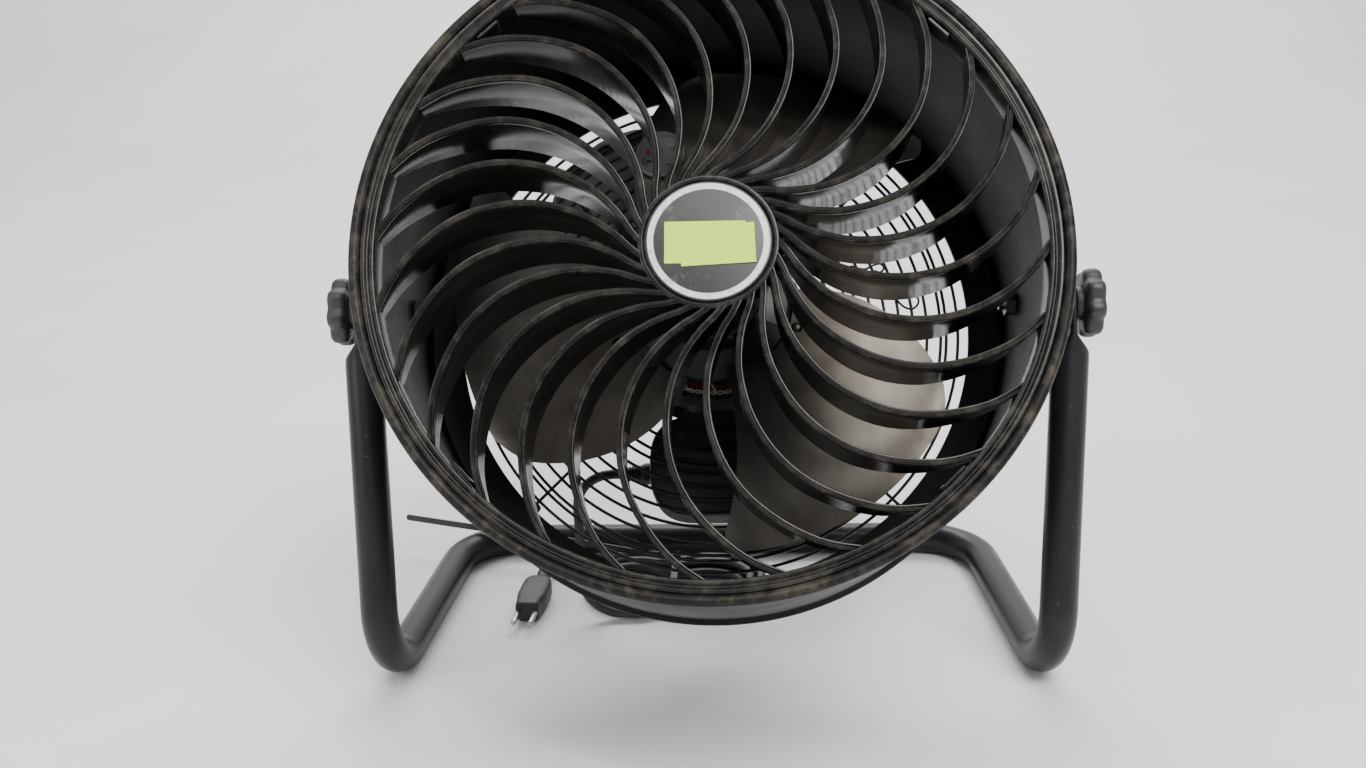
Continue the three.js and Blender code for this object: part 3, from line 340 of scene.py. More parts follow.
drum_paint = surface(
    "drum_paint", (0.0055, 0.0051, 0.0047), (0.0105, 0.0092, 0.0079), 0.44, dust_and_shade=(0.035, 0.03, 0.024),
    cover=(0.62, 0.88), scale=16, bump=0.05, grain=420, specular=0.16,
    wear=(0.128, 0.137, (0.055, 0.046, 0.034)))
vane_plastic = surface(
    "vane_plastic", (0.007, 0.0066, 0.006), (0.0125, 0.011, 0.009), 0.19, dust_and_shade=(0.04, 0.035, 0.026),
    cover=(0.66, 0.9), scale=30, bump=0.03, specular=0.24, wear=(0.118, 0.139, (0.05, 0.045, 0.036)))
black_plastic = surface("black_plastic", (0.012, 0.012, 0.012), (0.022, 0.021, 0.02), 0.4)
knob_plastic = surface(
    "knob_plastic", (0.017, 0.017, 0.017), (0.03, 0.029, 0.027), 0.46, dust_and_shade=(0.16, 0.15, 0.13),
    cover=(0.6, 0.85), scale=60, bump=0.25, grain=1400)
stand_paint = surface(
    "stand_paint", (0.0075, 0.0078, 0.0092), (0.014, 0.0142, 0.0158), 0.34, dust_and_shade=(0.08, 0.074, 0.066),
    cover=(0.64, 0.86), scale=40, bump=0.12, grain=1500, specular=0.32)
wire_paint = surface(
    "wire_paint", (0.008, 0.008, 0.008), (0.017, 0.016, 0.0145), 0.36, cover=(0.62, 0.88), scale=60)
# painted shade: the dark tint and the wide, coarse dark patches darken the blades in broad blotches. They
# stand for the drum's shade on the upper and left blades, mixed with some dust.
blade_metal = surface(
    "blade_metal", (0.15, 0.138, 0.12), (0.072, 0.062, 0.05), 0.36, 0.94, dust_and_shade=(0.05, 0.04, 0.03),
    cover=(0.46, 0.8), scale=8, bump=0.05, grain=300)
motor_enamel = surface("motor_enamel", (0.007, 0.007, 0.0072), (0.014, 0.0135, 0.013), 0.34, scale=30)
steel = surface(
    "steel", (0.5, 0.5, 0.49), (0.38, 0.37, 0.35), 0.33, 0.95, dust_and_shade=(0.16, 0.12, 0.08),
    cover=(0.64, 0.8), scale=90)
copper_wire = surface(
    "copper_wire", (0.3, 0.085, 0.035), (0.12, 0.04, 0.022), 0.3, 0.5, dust_and_shade=(0.06, 0.035, 0.02),
    cover=(0.6, 0.85), scale=90, bump=0.4, grain=1500)
lacing = surface("lacing", (0.7, 0.66, 0.56), (0.5, 0.45, 0.36), 0.7, scale=80, bump=0.4, grain=2400)
grey_plastic = surface(
    "grey_plastic", (0.42, 0.42, 0.41), (0.3, 0.3, 0.29), 0.42, dust_and_shade=(0.14, 0.125, 0.1),
    cover=(0.58, 0.82), scale=70)
disc_grey = surface(
    "disc_grey", (0.2, 0.202, 0.206), (0.15, 0.15, 0.15), 0.4, dust_and_shade=(0.08, 0.072, 0.06),
    cover=(0.58, 0.85), scale=60)
housing_grey = surface(
    "housing_grey", (0.34, 0.34, 0.325), (0.25, 0.248, 0.235), 0.5, dust_and_shade=(0.07, 0.062, 0.05),
    cover=(0.55, 0.8), scale=30)
cord_rubber = surface(
    "cord_rubber", (0.01, 0.01, 0.01), (0.02, 0.019, 0.018), 0.46, scale=60, bump=0.25, grain=1600)
paper = surface(
    "paper", (0.62, 0.86, 0.03), (0.54, 0.78, 0.04), 0.6, dust_and_shade=(0.42, 0.6, 0.06),
    cover=(0.6, 0.9), scale=60, bump=0.1, grain=900)
red_wire = surface("red_wire", (0.35, 0.02, 0.015), (0.2, 0.015, 0.012), 0.45, scale=90)


def badge_material():
    """The label's dark face with a pale printed ring about the drum's axis."""
    made = surface("badge_print", (0.018, 0.017, 0.016), (0.034, 0.031, 0.028), 0.34,
                   dust_and_shade=(0.15, 0.135, 0.11), cover=(0.58, 0.8), scale=70, bump=0.1, grain=900)
    tree = made.node_tree
    shader = tree.nodes["Principled BSDF"]
    place = next(n for n in tree.nodes if n.bl_idname == "ShaderNodeTexCoord").outputs["Object"]
    across = station(tree, place, Vector((1, 0, 0)), PIVOT * MM)
    above = station(tree, place, UPWARD, PIVOT * MM)
    reach = node(tree, "ShaderNodeMath", operation="SQRT")
    total = node(tree, "ShaderNodeMath", operation="ADD")
    tree.links.new(multiply(tree, across, across), total.inputs[0])
    tree.links.new(multiply(tree, above, above), total.inputs[1])
    tree.links.new(total.outputs[0], reach.inputs[0])
    inside = span(tree, reach.outputs[0], 0.0324, 0.0328)
    outside = span(tree, reach.outputs[0], 0.036, 0.0364, 1.0, 0.0)
    ring = multiply(tree, inside, outside)
    was = shader.inputs["Base Color"].links[0].from_socket
    scuffs = span(tree, noise(tree, place, 220.0, 6.0), 0.5, 0.75)
    scuffed = blend_colour(tree, scuffs, (0.74, 0.72, 0.68), (0.42, 0.39, 0.35))
    tree.links.new(blend_colour(tree, ring, was, scuffed), shader.inputs["Base Color"])
    return made


badge_print = badge_material()


# ---- pieces
def add(name, shape, place, material, body, stands_for=(), crease=35.0):
    """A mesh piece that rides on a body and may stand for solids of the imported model."""
    mesh = bpy.data.meshes.new(name)
    mesh.from_pydata([tuple(place(p)) for p in shape[0]], [], [tuple(f) for f in shape[1]])
    work = bmesh.new()
    work.from_mesh(mesh)
    bmesh.ops.remove_doubles(work, verts=work.verts, dist=2e-6)
    bmesh.ops.dissolve_degenerate(work, edges=work.edges, dist=1e-6)
    bmesh.ops.recalc_face_normals(work, faces=work.faces)
    work.to_mesh(mesh)
    work.free()
    mesh.shade_smooth()
    mesh.set_sharp_from_angle(angle=math.radians(crease))
    mesh.materials.append(material)
    made = bpy.data.objects.new(name, mesh)
    bpy.context.collection.objects.link(made)
    if stands_for:
        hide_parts(*stands_for)
    if body:
        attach(made, body)
    return made


# ---- camera and stage
EYE = (13.6, SETBACK - 836.1, 463.4)
PITCH, YAW, ROLL = 0.3048, -0.042, -0.0226
SENSOR = 36
FOCAL_PIXELS, WIDE_PIXELS = 1244.3, 1366


def camera():
    """The eye in front of the fan, looking slightly down and turned a little to the left."""
    flat = math.cos(PITCH)
    forward = Vector((math.sin(YAW) * flat, math.cos(YAW) * flat, -math.sin(PITCH)))
    level = Vector((math.cos(YAW), -math.sin(YAW), 0))
    over = level.cross(forward)
    right = level * math.cos(ROLL) + over * math.sin(ROLL)
    up = over * math.cos(ROLL) - level * math.sin(ROLL)
    lens = bpy.data.cameras.new("camera")
    lens.sensor_width = SENSOR
    lens.sensor_fit = "HORIZONTAL"
    lens.lens = SENSOR * FOCAL_PIXELS / WIDE_PIXELS
    lens.clip_start = 0.01
    lens.clip_end = 100
    eye = bpy.data.objects.new("camera", lens)
    bpy.context.collection.objects.link(eye)
    place = Matrix((right, up, -forward)).transposed().to_4x4()
    place.translation = Vector(EYE) * MM
    eye.matrix_world = place
    bpy.context.scene.camera = eye


def lamp(name, place, target, size, power, tint=(1, 1, 1)):
    light = bpy.data.lights.new(name, "AREA")
    light.shape = "RECTANGLE"
    light.size, light.size_y = size
    light.energy = power
    light.color = tint
    made = bpy.data.objects.new(name, light)
    bpy.context.collection.objects.link(made)
    made.location = place
    made.rotation_euler = (Vector(target) - Vector(place)).to_track_quat("-Z", "Y").to_euler()


FLOOR_FRONT, FLOOR_BACK, FLOOR_SWEEP = -6, 2.2, 1.5  # metres
WALL_TOP = 6


def stage():
    """A pale floor that turns up into a backdrop far behind, plain soft lamps and a pale world."""
    profile = [(FLOOR_FRONT, 0), (FLOOR_BACK, 0)]
    for k in range(1, 11):
        a = math.radians(9 * k)
        profile.append((FLOOR_BACK + FLOOR_SWEEP * math.sin(a), FLOOR_SWEEP - FLOOR_SWEEP * math.cos(a)))
    profile.append((FLOOR_BACK + FLOOR_SWEEP, WALL_TOP))
    points = [(x, y, z) for y, z in profile for x in (-8, 8)]
    faces = [(2 * k, 2 * k + 1, 2 * k + 3, 2 * k + 2) for k in range(len(profile) - 1)]
    mesh = bpy.data.meshes.new("floor")
    mesh.from_pydata(points, [], faces)
    mesh.shade_smooth()
    paint = bpy.data.materials.new("floor_paint")
    paint.use_nodes = True
    tree = paint.node_tree
    shader = tree.nodes["Principled BSDF"]
    place = node(tree, "ShaderNodeTexCoord").outputs["Object"]
    mottle = span(tree, noise(tree, place, 2.5, 6.0), 0.35, 0.7)
    colour = blend_colour(tree, mottle, (0.8, 0.8, 0.79), (0.74, 0.74, 0.73))
    tree.links.new(colour, shader.inputs["Base Color"])
    shader.inputs["Roughness"].default_value = 0.6
    mesh.materials.append(paint)
    floor = bpy.data.objects.new("floor", mesh)
    bpy.context.collection.objects.link(floor)
    world = bpy.data.worlds.new("world")
    world.use_nodes = True
    bpy.context.scene.world = world
    background = world.node_tree.nodes["Background"]
    background.inputs["Color"].default_value = (0.92, 0.95, 1, 1)
    background.inputs["Strength"].default_value = 0.82
    lamp("key", (0.9, -1.3, 2.3), (0, 0, 0.2), (1.2, 1.2), 66, (1, 0.985, 0.96))
    lamp("strip", (-0.5, -0.9, 2.4), (0, 0, 0.25), (2.2, 0.1), 16, (1, 1, 1))
    lamp("fill", (-1.9, -1.2, 1.3), (0, 0, 0.25), (1.0, 1.2), 17, (0.95, 0.98, 1))
    lamp("back", (0.0, 2.3, 2.9), (0, 2.0, 0.3), (3.2, 1.6), 110)


camera()
stage()


# ---- cord
HANK_MIDDLE = (-35, 73)
HANK_RUN, HANK_FOLD, HANK_PITCH, HANK_WAIST = 33, 45, 8.8, 8
HANK_START, HANK_END, HANK_TURNS_OUT = 0.02, 4.73, 2.625
HANK_FLOOR, HANK_LAYER = 5.7, 7.9
DROP = [
    (-67.4, 14.8, 126.4), (-75, 14.8, 126.4), (-83.7, 15, 125), (-91.6, 15.5, 121), (-97.9, 16.2, 114.8),
    (-101.8, 17, 106.9), (-103, 17.9, 98.5), (-103, 19.6, 84.6), (-103, 22.2, 62), (-103, 24.43, 42.6),
    (-103, 25.2, 35.9), (-102, 26, 27.9), (-99, 26.7, 20.6), (-94.2, 27.2, 14.4), (-88, 27.6, 9.7),
    (-80.8, 27.8, 6.7), (-74.5, 27.9, 5.75),
]
TAIL = [
    (-76, 113.9, 13.5), (-82.8, 114.6, 13.1), (-89.2, 116.7, 11.8), (-95, 120.5, 9.8), (-100.8, 124.6, 7.5),
    (-107.2, 127.2, 5.5), (-114, 128, 4.3), (-121.4, 127, 3.9), (-128.3, 124.2, 4.1), (-134.2, 119.7, 5),
    (-138.7, 113.7, 6.5), (-141.5, 106.9, 8.3), (-142.45, 101.2, 9.3), (-143.2, 90, 9.3),
]


def smooth(value, low, high):
    """A soft step from 0 at low to 1 at high."""
    f = min(max((value - low) / (high - low), 0.0), 1.0)
    return f * f * (3 - 2 * f)


def hank_point(turn):
    """A point of the coiled stretch: inwards turn by turn on the floor, and outwards on top of it."""
    inset = HANK_PITCH * (HANK_TURNS_OUT - abs(HANK_TURNS_OUT - turn))
    fold = HANK_FOLD - inset
    quarter = (turn % 1) * 4
    part = int(quarter)
    share = quarter - part
    height = HANK_FLOOR + smooth(turn, HANK_TURNS_OUT - 0.25, HANK_TURNS_OUT + 0.25) * HANK_LAYER
    x, y = HANK_MIDDLE
    facing = 1 if part < 2 else -1
    if part % 2 == 0:
        inward = min(max((share - 0.1) / 0.8, 0.0), 1.0)
        drawn = HANK_WAIST * math.sin(math.pi * inward) ** 2
        return x + facing * HANK_RUN * (2 * share - 1), y - facing * (fold - drawn), height
    a, b = polar(fold, math.pi * (share - 0.5))
    return x + facing * (HANK_RUN + a), y + facing * b, height


def cord():
    """The whole cord: drop from the gland, coiled stretch and tail, without points too close together."""
    count = round((HANK_END - HANK_START) * 32)
    hank = [hank_point(HANK_START + (HANK_END - HANK_START) * i / count) for i in range(count + 1)]
    route = spline(DROP + hank[:1], 3)[:-1] + [Vector(p) for p in hank] + spline(hank[-1:] + TAIL, 3)[1:]
    clear = [route[0]]
    for point in route[1:]:
        if (point - clear[-1]).length > 1.2:
            clear.append(point)
    path = [ground(p) for p in clear]
    length = sum((b - a).length for a, b in zip(path, path[1:]))
    made = add("power_cord", tube(path, CORD * MM, 14), Vector, cord_rubber, None,
               ("cord_drop", "cord_landing", "cord_hank", "cord_tail"), 60)
    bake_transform(made)
    return made, path, length


cord_piece, cord_path, cord_length = cord()


# ---- plug, strap and gland
PLUG_END, PLUG_TIP = Vector((-142.9, 94.3)), Vector((-148.7, 5))
PLUG_LIFT, PLUG_HEIGHT, PIN_LENGTH, PIN_SPREAD = 0.3, 17, 19, 13


def plug_place(point):
    """A point counted from the cord end of the plug: along it, across it and up."""
    aim = (PLUG_TIP - PLUG_END).normalized()
    spot = PLUG_END + aim * point[0] + Vector((-aim.y, aim.x)) * point[1]
    return ground((spot.x, spot.y, point[2] + PLUG_LIFT))


# Shares of the body's length, half widths and shares of its height.
PLUG_SPANS = [
    (0, 4.5, 0.5), (0.03, 4.9, 0.56), (0.26, 5.6, 0.66), (0.31, 8.6, 0.9), (0.38, 10.8, 1), (0.46, 11.6, 1),
    (0.7, 11.7, 1), (0.8, 10.9, 1), (0.88, 9.8, 1), (0.97, 9.3, 0.99), (1, 8.6, 0.9),
]


def plug():
    """The moulded plug with its ribbed sleeve, and its two round pins."""
    length = (PLUG_TIP - PLUG_END).length - PIN_LENGTH
    curve = spline([Vector((a * length, b, c * PLUG_HEIGHT / 2)) for a, b, c in PLUG_SPANS], 4)
    rings = []
    for i, (x, wide, high) in enumerate(curve):
        if x < 0.25 * length and x > 2:
            rib = 0.55 * math.cos(2 * math.pi * (x - 2) / 3.6)
            wide, high = wide + rib, min(high + rib, 0.498 * PLUG_HEIGHT)
        ring = []
        for k in range(28):
            a = 2 * math.pi * k / 28
            power = 0.45 if x > 0.3 * length else 0.9
            across = math.copysign(abs(math.cos(a)) ** power, math.cos(a)) * wide
            over = math.copysign(abs(math.sin(a)) ** power, math.sin(a)) * high
            ring.append((x, across, over + PLUG_HEIGHT / 2))
        rings.append(ring)
    pieces = [add("plug_moulding", skin(rings), plug_place, cord_rubber, "stand",
                  ("plug_body",), 50)]
    for k, side in enumerate((-1, 1)):
        reaches = [-1, 0.5, *[PIN_LENGTH - back for back in (1.6, 0.8, 0.25, 0)]]
        path = [(length + reach, side * PIN_SPREAD / 2, PLUG_HEIGHT / 2) for reach in reaches]
        pin = tube(path, [2, 2, 2, 1.75, 1.2, 0.4], 16)
        pieces.append(add("plug_prong_%d" % (k + 1), pin, plug_place, steel, "stand",
                          ("plug_pin_%d" % (k + 1),)))
    return pieces


STRAP_HALF, STRAP_WALL = 2.6, 1.25
STRAP_TAIL = [(-60, 101, 22), (-100, 111, 24.6), (-150, 124, 27.4), (-204, 138, 29), (-240, 147.5, 30.4),
              (-272, 156, 31.8)]


def strap():
    """The tie round the coiled cord: a loop, its lock and the long tail with its teeth."""
    across = HANK_FOLD - HANK_WAIST + CORD + 1
    front = HANK_MIDDLE[1] - across + HANK_PITCH / 8
    rear = HANK_MIDDLE[1] + across - HANK_PITCH * 5 / 8
    high = HANK_LAYER + 2 * CORD + 1
    low = HANK_FLOOR + HANK_LAYER / 2 - high / 2
    ring = fillet([(front, low), (rear, low), (rear, low + high), (front, low + high)], 4, 5)
    middle = Vector(((front + rear) / 2, low + high / 2))
    rings = []
    near, far = HANK_MIDDLE[0] - STRAP_HALF, HANK_MIDDLE[0] + STRAP_HALF
    for y, z in ring + ring[:1]:
        out = Vector((y, z)) - middle
        out = Vector((out.x * high / (rear - front), out.y)).normalized() * STRAP_WALL
        rings.append([(near, y, z), (far, y, z), (far, y + out.x, z + out.y), (near, y + out.x, z + out.y)])
    loop = skin(rings, False)
    top = low + high
    lock = prism(rounded_box(8, 7, 1.2, 0, 0, 3), 0, 4.7, 0.5)
    lock = moved(lock, (HANK_MIDDLE[0], rear - 8, top + 0.1))
    slot = prism(rounded_box(5.4, 1.8, 0.4, 0, 0, 2), 0, 0.5, 0.15)
    slot = moved(slot, (HANK_MIDDLE[0], rear - 8, top + 4.75))
    path = spline([(HANK_MIDDLE[0], rear - 8, top + 2.4), *STRAP_TAIL], 26)
    rings = []
    for i, point in enumerate(path):
        along = (path[min(i + 1, len(path) - 1)] - path[max(i - 1, 0)]).normalized()
        aside = along.cross(Vector((0, 0, 1))).normalized()
        over = aside.cross(along)
        left = len(path) - 1 - i
        half = STRAP_HALF * math.sqrt(1 - (1 - min(left, 3) / 3) ** 2 * 0.8)
        tooth = 0.2 if i % 2 and i > 6 and left > 20 else 0
        wall = aside * 0.65
        cut = aside * (0.65 - tooth)
        edge, inset = over * half, over * half * 0.5
        rings.append([point - wall - edge, point + wall - edge, point + cut - inset, point + cut + inset,
                      point + wall + edge, point - wall + edge])
    shape = merge(loop, lock, slot, skin(rings))
    return add("strap", shape, ground, cord_rubber, "stand", ("cord_tie",), 30)


def gland():
    """The ribbed sleeve round the cord where it leaves the terminal box."""
    profile = [(0, 47.3), (8, 47.3), (8, 52.2), (7.2, 52.6), (7.2, 53)]
    for k in range(6):
        radius = 6.9 - 0.33 * k
        at = 53.4 + 2.2 * k
        profile += [(radius, at), (radius, at + 1.2), (radius - 0.9, at + 1.5), (radius - 0.95, at + 2)]
    profile += [(4.8, 67), (4.3, 67.5), (CORD - 0.2, 67.5), (0, 67.5)]
    shape = along_x(lathe(fillet(profile, 0.3, 2, False), 28, False), -1)
    shape = [(p[0], p[1] - 102, p[2] - 80) for p in shape[0]], shape[1]
    add("strain_relief", shape, head, cord_rubber, "head", ("cord_gland",), 40)


plug_pieces = plug()
tie_piece = strap()
gland()


# ---- drum
def roll(radius, station, bead, start, end, steps=14):
    """A round bead in a profile, from one angle in degrees to another."""
    return [(radius + bead * math.cos(a), station + bead * math.sin(a))
            for a in [math.radians(start + (end - start) * k / steps) for k in range(steps + 1)]]


def drum():
    """The sheet metal cylinder with a rolled bead at each end and the flange at the back."""
    inner = DRUM - 2.5
    profile = [(184, -52), (184, -49.6), (200, -49.5), (inner - 1.5, -49), (inner, -47)]
    profile += [(inner, 40), (inner, 128)]
    profile += roll(210.1, 133.7, 3.25, 180, -80)
    profile += [(DRUM, 129), (DRUM, 127.5), (DRUM, 40), (DRUM, -45.5), (DRUM, -47)]
    profile += roll(210.1, -51.6, 3.25, 80, -150)
    profile += [(205, -52.6), (202, -52)]
    add("drum_skin", lathe(profile, 180), head, drum_paint, "head", ("drum_shell",), 40)


drum()


# ---- grille
VANES = 28
# Stations of a vane: radius, angle in degrees, front and depth.
VANE = [
    (40, 155, 131.4, 24), (45.7, 147, 131.9, 26), (54.9, 137, 132.4, 30), (68.6, 130.4, 133, 36),
    (86.9, 127.7, 133.8, 41), (114.4, 129, 134.4, 44), (148.7, 135.2, 134.9, 42), (183, 145.8, 133.9, 30),
    (199.6, 153.2, 132.4, 17),
]
# Half of a vane's section near its front edge: half width and station behind the front.
VANE_HALF = [
    (0, -1), (0.45, -0.8), (0.85, -0.25), (1.25, 0), (1.7, -0.1), (2.05, -0.6), (2.15, -1.3), (2.1, -2.2),
    (1.6, -3.2), (1.05, -3.9), (0.98, -6),
]


def vane(turn):
    """One curved vane, turned about the axis by an angle in degrees."""
    rings = []
    stations = spline([Vector((r, a, s, d)) for r, a, s, d in VANE], 6)
    spots = [Vector(polar(p[0], math.radians(p[1] + turn))) for p in stations]
    for i, station_row in enumerate(stations):
        front, depth = station_row[2], station_row[3]
        along = (spots[min(i + 1, len(spots) - 1)] - spots[max(i - 1, 0)]).normalized()
        half = VANE_HALF + [(0.9, 0.6 - depth), (0.45, -depth)]
        section = half + [(-a, b) for a, b in reversed(half[1:])]
        rings.append([(spots[i].x - along.y * a, spots[i].y + along.x * a, front + b) for a, b in section])
    return skin(rings)


def grille():
    """The moulding: outer ring, hub cup and vanes."""
    ring = fillet([(198.3, 114.5), (206.7, 114.5), (206.7, 134.4, 1.4), (204.2, 134.5, 1),
                   (202.4, 132.3, 1), (200.6, 134, 1), (198.3, 133.6, 1.2)], 0.6, 4)
    cup = fillet([(0, 127), (38.1, 127, 1), (38.1, 104.8), (42.1, 104.8), (42.1, 131.6, 1.4),
                  (39.2, 131.6, 0.6), (38, 129.9, 0.3), (0, 129.9)], 0.5, 4, False)
    vanes = [vane(360 / VANES * k) for k in range(VANES)]
    add("grille_vanes", merge(lathe(ring, 180), lathe(cup, 96), *vanes), head, vane_plastic, "head",
        ("front_grille",), 42)


grille()


# Corners of the two paper tags on the badge, from its middle.
TAG_LOW = [(-26, -14), (22, -14), (22, 12), (-26, 12)]
TAG_HIGH = [(-16, -16), (28, -14), (27, 11), (-17, 7)]


def badge():
    """The label disc, and the two blank tags whose right ends curl up."""
    face = fillet([(0, 130.15), (37.4, 130.15), (37.4, 131.25, 0.5), (0, 131.3)], 0.3, 4, False)
    add("badge_disc", lathe(face, 96), head, badge_print, "head", ("hub_badge",), 40)
    tags = []
    for corners, lift in ((TAG_LOW, 131.4), (TAG_HIGH, 131.62)):
        outline = fillet(corners, 0.6, 2)
        flat = [(x, u, lift + 0.5 * smooth(x, 14, 27)) for x, u in outline]
        under = [(x, u, s - 0.12) for x, u, s in flat]
        tags.append(skin([under, flat]))
    add("paper_tags", merge(*tags), head, paper, "head", (), 40)


badge()

for clip_number in range(4):
    outline = rounded_box(2.2, 17, 0.9, 196.6, 0, 3)
    clip = turned(prism(outline, 119.5, 131.4, 0.5), math.radians(134 + 90 * clip_number))
    add("clip_tab_%d" % (clip_number + 1), clip, head, vane_plastic, "head",
        ("grille_clip_%d" % (clip_number + 1),), 40)


# ---- rear guard
GUARD_RADII = [88, 99, 105.5, *[115.4 + 9.9 * k for k in range(6)], 168.9, 177.2, 191.8]
GUARD_STATION, WIRE = -53.7, 1.2
# Two loose wire ends behind the blades: right, up and station.
WIRE_ENDS = [
    [(101, 47.5, -52.2), (106, 45.5, -51.8), (112, 44.6, -51.5), (118, 47.5, -51.5), (123, 48.5, -51.5),
     (125.5, 45, -51.5), (122.5, 42, -51.6), (118.5, 43.5, -51.9)],
    [(133, 22, -52.2), (136, 18, -51.8), (140, 14.5, -51.5), (145, 13.6, -51.5), (149, 17, -51.5),
     (149.4, 21.5, -51.6), (146, 24, -51.9)],
]


def guard():
    """Wire rings on four radial wires, and the loose wire ends hooked on them."""
    rings = []
    for radius in GUARD_RADII:
        loop = [(*polar(radius, 2 * math.pi * k / 120), GUARD_STATION) for k in range(121)]
        section = tube(loop, WIRE, 8)
        rings.append((section[0], section[1][:-2]))
    spokes = []
    for a in DIAGONALS:
        spokes.append(tube([(*polar(r, a), GUARD_STATION - 2) for r in (86.8, 100, 193)], WIRE, 10))
    add("guard_wires", merge(*rings, *spokes), head, wire_paint, "head", ("rear_guard",), 50)
    loops = [tube(spline(end, 5), 0.85, 8) for end in WIRE_ENDS]
    add("guard_wire_ends", merge(*loops), head, wire_paint, "head", (), 50)


guard()


# ---- impeller
BLADE_ROOT, BLADE_TIP, BLADE_WALL = 55, 174, 1.6
BLADE_TURNS = [304, 424, 544]  # degrees


def blade_point(radius, across, rounding=1.0, lift=0.0):
    """A point of the first blade before it is turned, across from -1 at its front edge to 1 at its rear."""
    outward = max(0.0, (radius - BLADE_ROOT) / (BLADE_TIP - BLADE_ROOT))
    half = 46 - 13 * outward**1.2
    middle = 22 - 22 * outward**1.5
    x, u = polar(radius, math.radians(middle + across * half * rounding))
    return x, u, 24.5 - across * rounding * 22.5 - 7 * (1 - across * across) + lift


def sheet(radii, low, high, steps, wall, lift, rounding):
    """A sheet on the blade's surface between two shares of its width."""
    rings = []
    for radius in radii:
        r = rounding(radius)
        share = [low + (high - low) * k / steps for k in range(steps + 1)]
        front = [blade_point(radius, a, r, lift + wall / 2) for a in share]
        rear = [blade_point(radius, a, r, lift - wall / 2) for a in share]
        rings.append(front + rear[::-1])
    return skin(rings)


def rivet(radius, across):
    x, u, s = blade_point(radius, across)
    dome = [(0, 2.3), (1.6, 2.1), (2.9, 1.5), (3.7, 0.6), (3.9, 0), (3.9, -0.8), (0, -0.8)]
    return moved(lathe(dome, 18, False), (x, u, s + 0.9))


def tip_rounding(radius):
    """The share of its full width that a blade keeps towards its tip."""
    near = max(0.0, (radius - BLADE_TIP + 14) / 14)
    return 1 - 0.14 * near**2.2


blade_radii = [BLADE_ROOT + (BLADE_TIP - BLADE_ROOT) * k / 30 for k in range(31)]
blade_rivets = [rivet(60, -0.35), rivet(70, 0), rivet(60, 0.35)]
blade_shape = merge(sheet(blade_radii, -1, 1, 26, BLADE_WALL, 0, tip_rounding), *blade_rivets)
for blade_number, blade_turn in enumerate(BLADE_TURNS, 1):
    add("blade_sheet_%d" % blade_number, turned(blade_shape, math.radians(blade_turn)), head,
        blade_metal, "impeller", ("blade_%d" % blade_number,), 40)


def blade_disc():
    """The round plate on the upper blade, with its slots, hole and a red mark."""
    turn = math.radians(64)
    seat = Vector(blade_point(117, 0.75))
    outwards, across = Vector(blade_point(118, 0.75)) - seat, Vector(blade_point(117, 0.76)) - seat
    normal = outwards.cross(across).normalized()
    level = Vector((math.cos(turn), -math.sin(turn), 0))
    level = level - normal * normal.dot(level)
    level.normalize()
    over = normal.cross(level)

    def place(point):
        spot = seat + level * point[0] + over * point[1] + normal * point[2]
        return head(Matrix.Rotation(turn, 3, "Z") @ spot)

    back, front = 2.4, 4.4
    rim = fillet([(0, 1.15), (4, 1.15), (4, back, 0), (18, back), (18, front, 0.7), (15.6, front, 0.5),
                  (15, front - 0.6, 0.2), (14.5, front - 0.6), (14.2, front - 0.9), (13.9, front - 0.6),
                  (0, front - 0.6)], 0.3, 3, False)
    add("disc_plate", lathe(rim, 64, False), place, disc_grey, "impeller",
        ("blade_disc",), 35)
    top = front - 0.62
    marks = [prism(rounded_box(1.4, 7.5, 0.5, 9.6, -9, 2), top, top + 0.14, 0.04),
             prism(rounded_box(5.5, 1.3, 0.5, 6.8, -8.6, 2), top, top + 0.14, 0.04),
             prism(rounded_box(4.6, 2.2, 0.8, -8.2, -5, 3), top, top + 0.14, 0.04),
             tube([(*polar(2.9, math.radians(a)), top) for a in range(100, 300, 20)], 0.5, 6)]
    marks[3] = moved(marks[3], (-9.6, -4.6, 0))
    hole = [(*polar(1.3, 2 * math.pi * k / 16), top) for k in range(17)]
    marks.append(moved(tube(hole, 0.32, 6), (8.6, 3.4, 0)))
    add("disc_marks", merge(*marks), place, black_plastic, "impeller", (), 35)
    spot = prism(rounded_box(2.6, 5.2, 0.8, -8.4, 2.4, 3), top, top + 0.12, 0.04)
    add("disc_red_mark", spot, place, red_wire, "impeller", (), 35)


blade_disc()


def impeller_hub():
    """The black hub cup with three sheet arms, the collar and the shaft."""
    cup = fillet([(6.4, 30.5), (14, 30.5), (14, 35.5, 1), (31, 35.5, 2), (31, 10.5), (34, 10.5),
                  (34, 38.5, 3), (6.4, 38.5)], 0.6, 5)
    reach = [32.5 + 46.3 * j / 12 for j in range(13)]
    arm = sheet(reach, -0.667, 0.333, 10, BLADE_WALL, -3.4, lambda radius: 1.0)
    arms = [turned(arm, math.radians(turn)) for turn in BLADE_TURNS]
    add("hub_cup", lathe(cup, 72), head, motor_enamel, "impeller", ("fan_hub",), 40)
    add("hub_arms", merge(*arms), head, blade_metal, "impeller", ("fan_hub",), 40)
    collar = fillet([(6.4, 38.9), (13, 38.9), (13, 46.7), (6.4, 46.7)], 0.8, 3)
    add("collar_ring", lathe(collar, 40), head, steel, "impeller", ("shaft_collar",), 40)
    shaft = fillet([(0, -84.4), (6, -84.4), (6, 48.4), (0, 48.5)], 0.8, 3, False)
    add("shaft_bar", lathe(shaft, 36, False), head, steel, "impeller", ("motor_shaft",), 40)


impeller_hub()


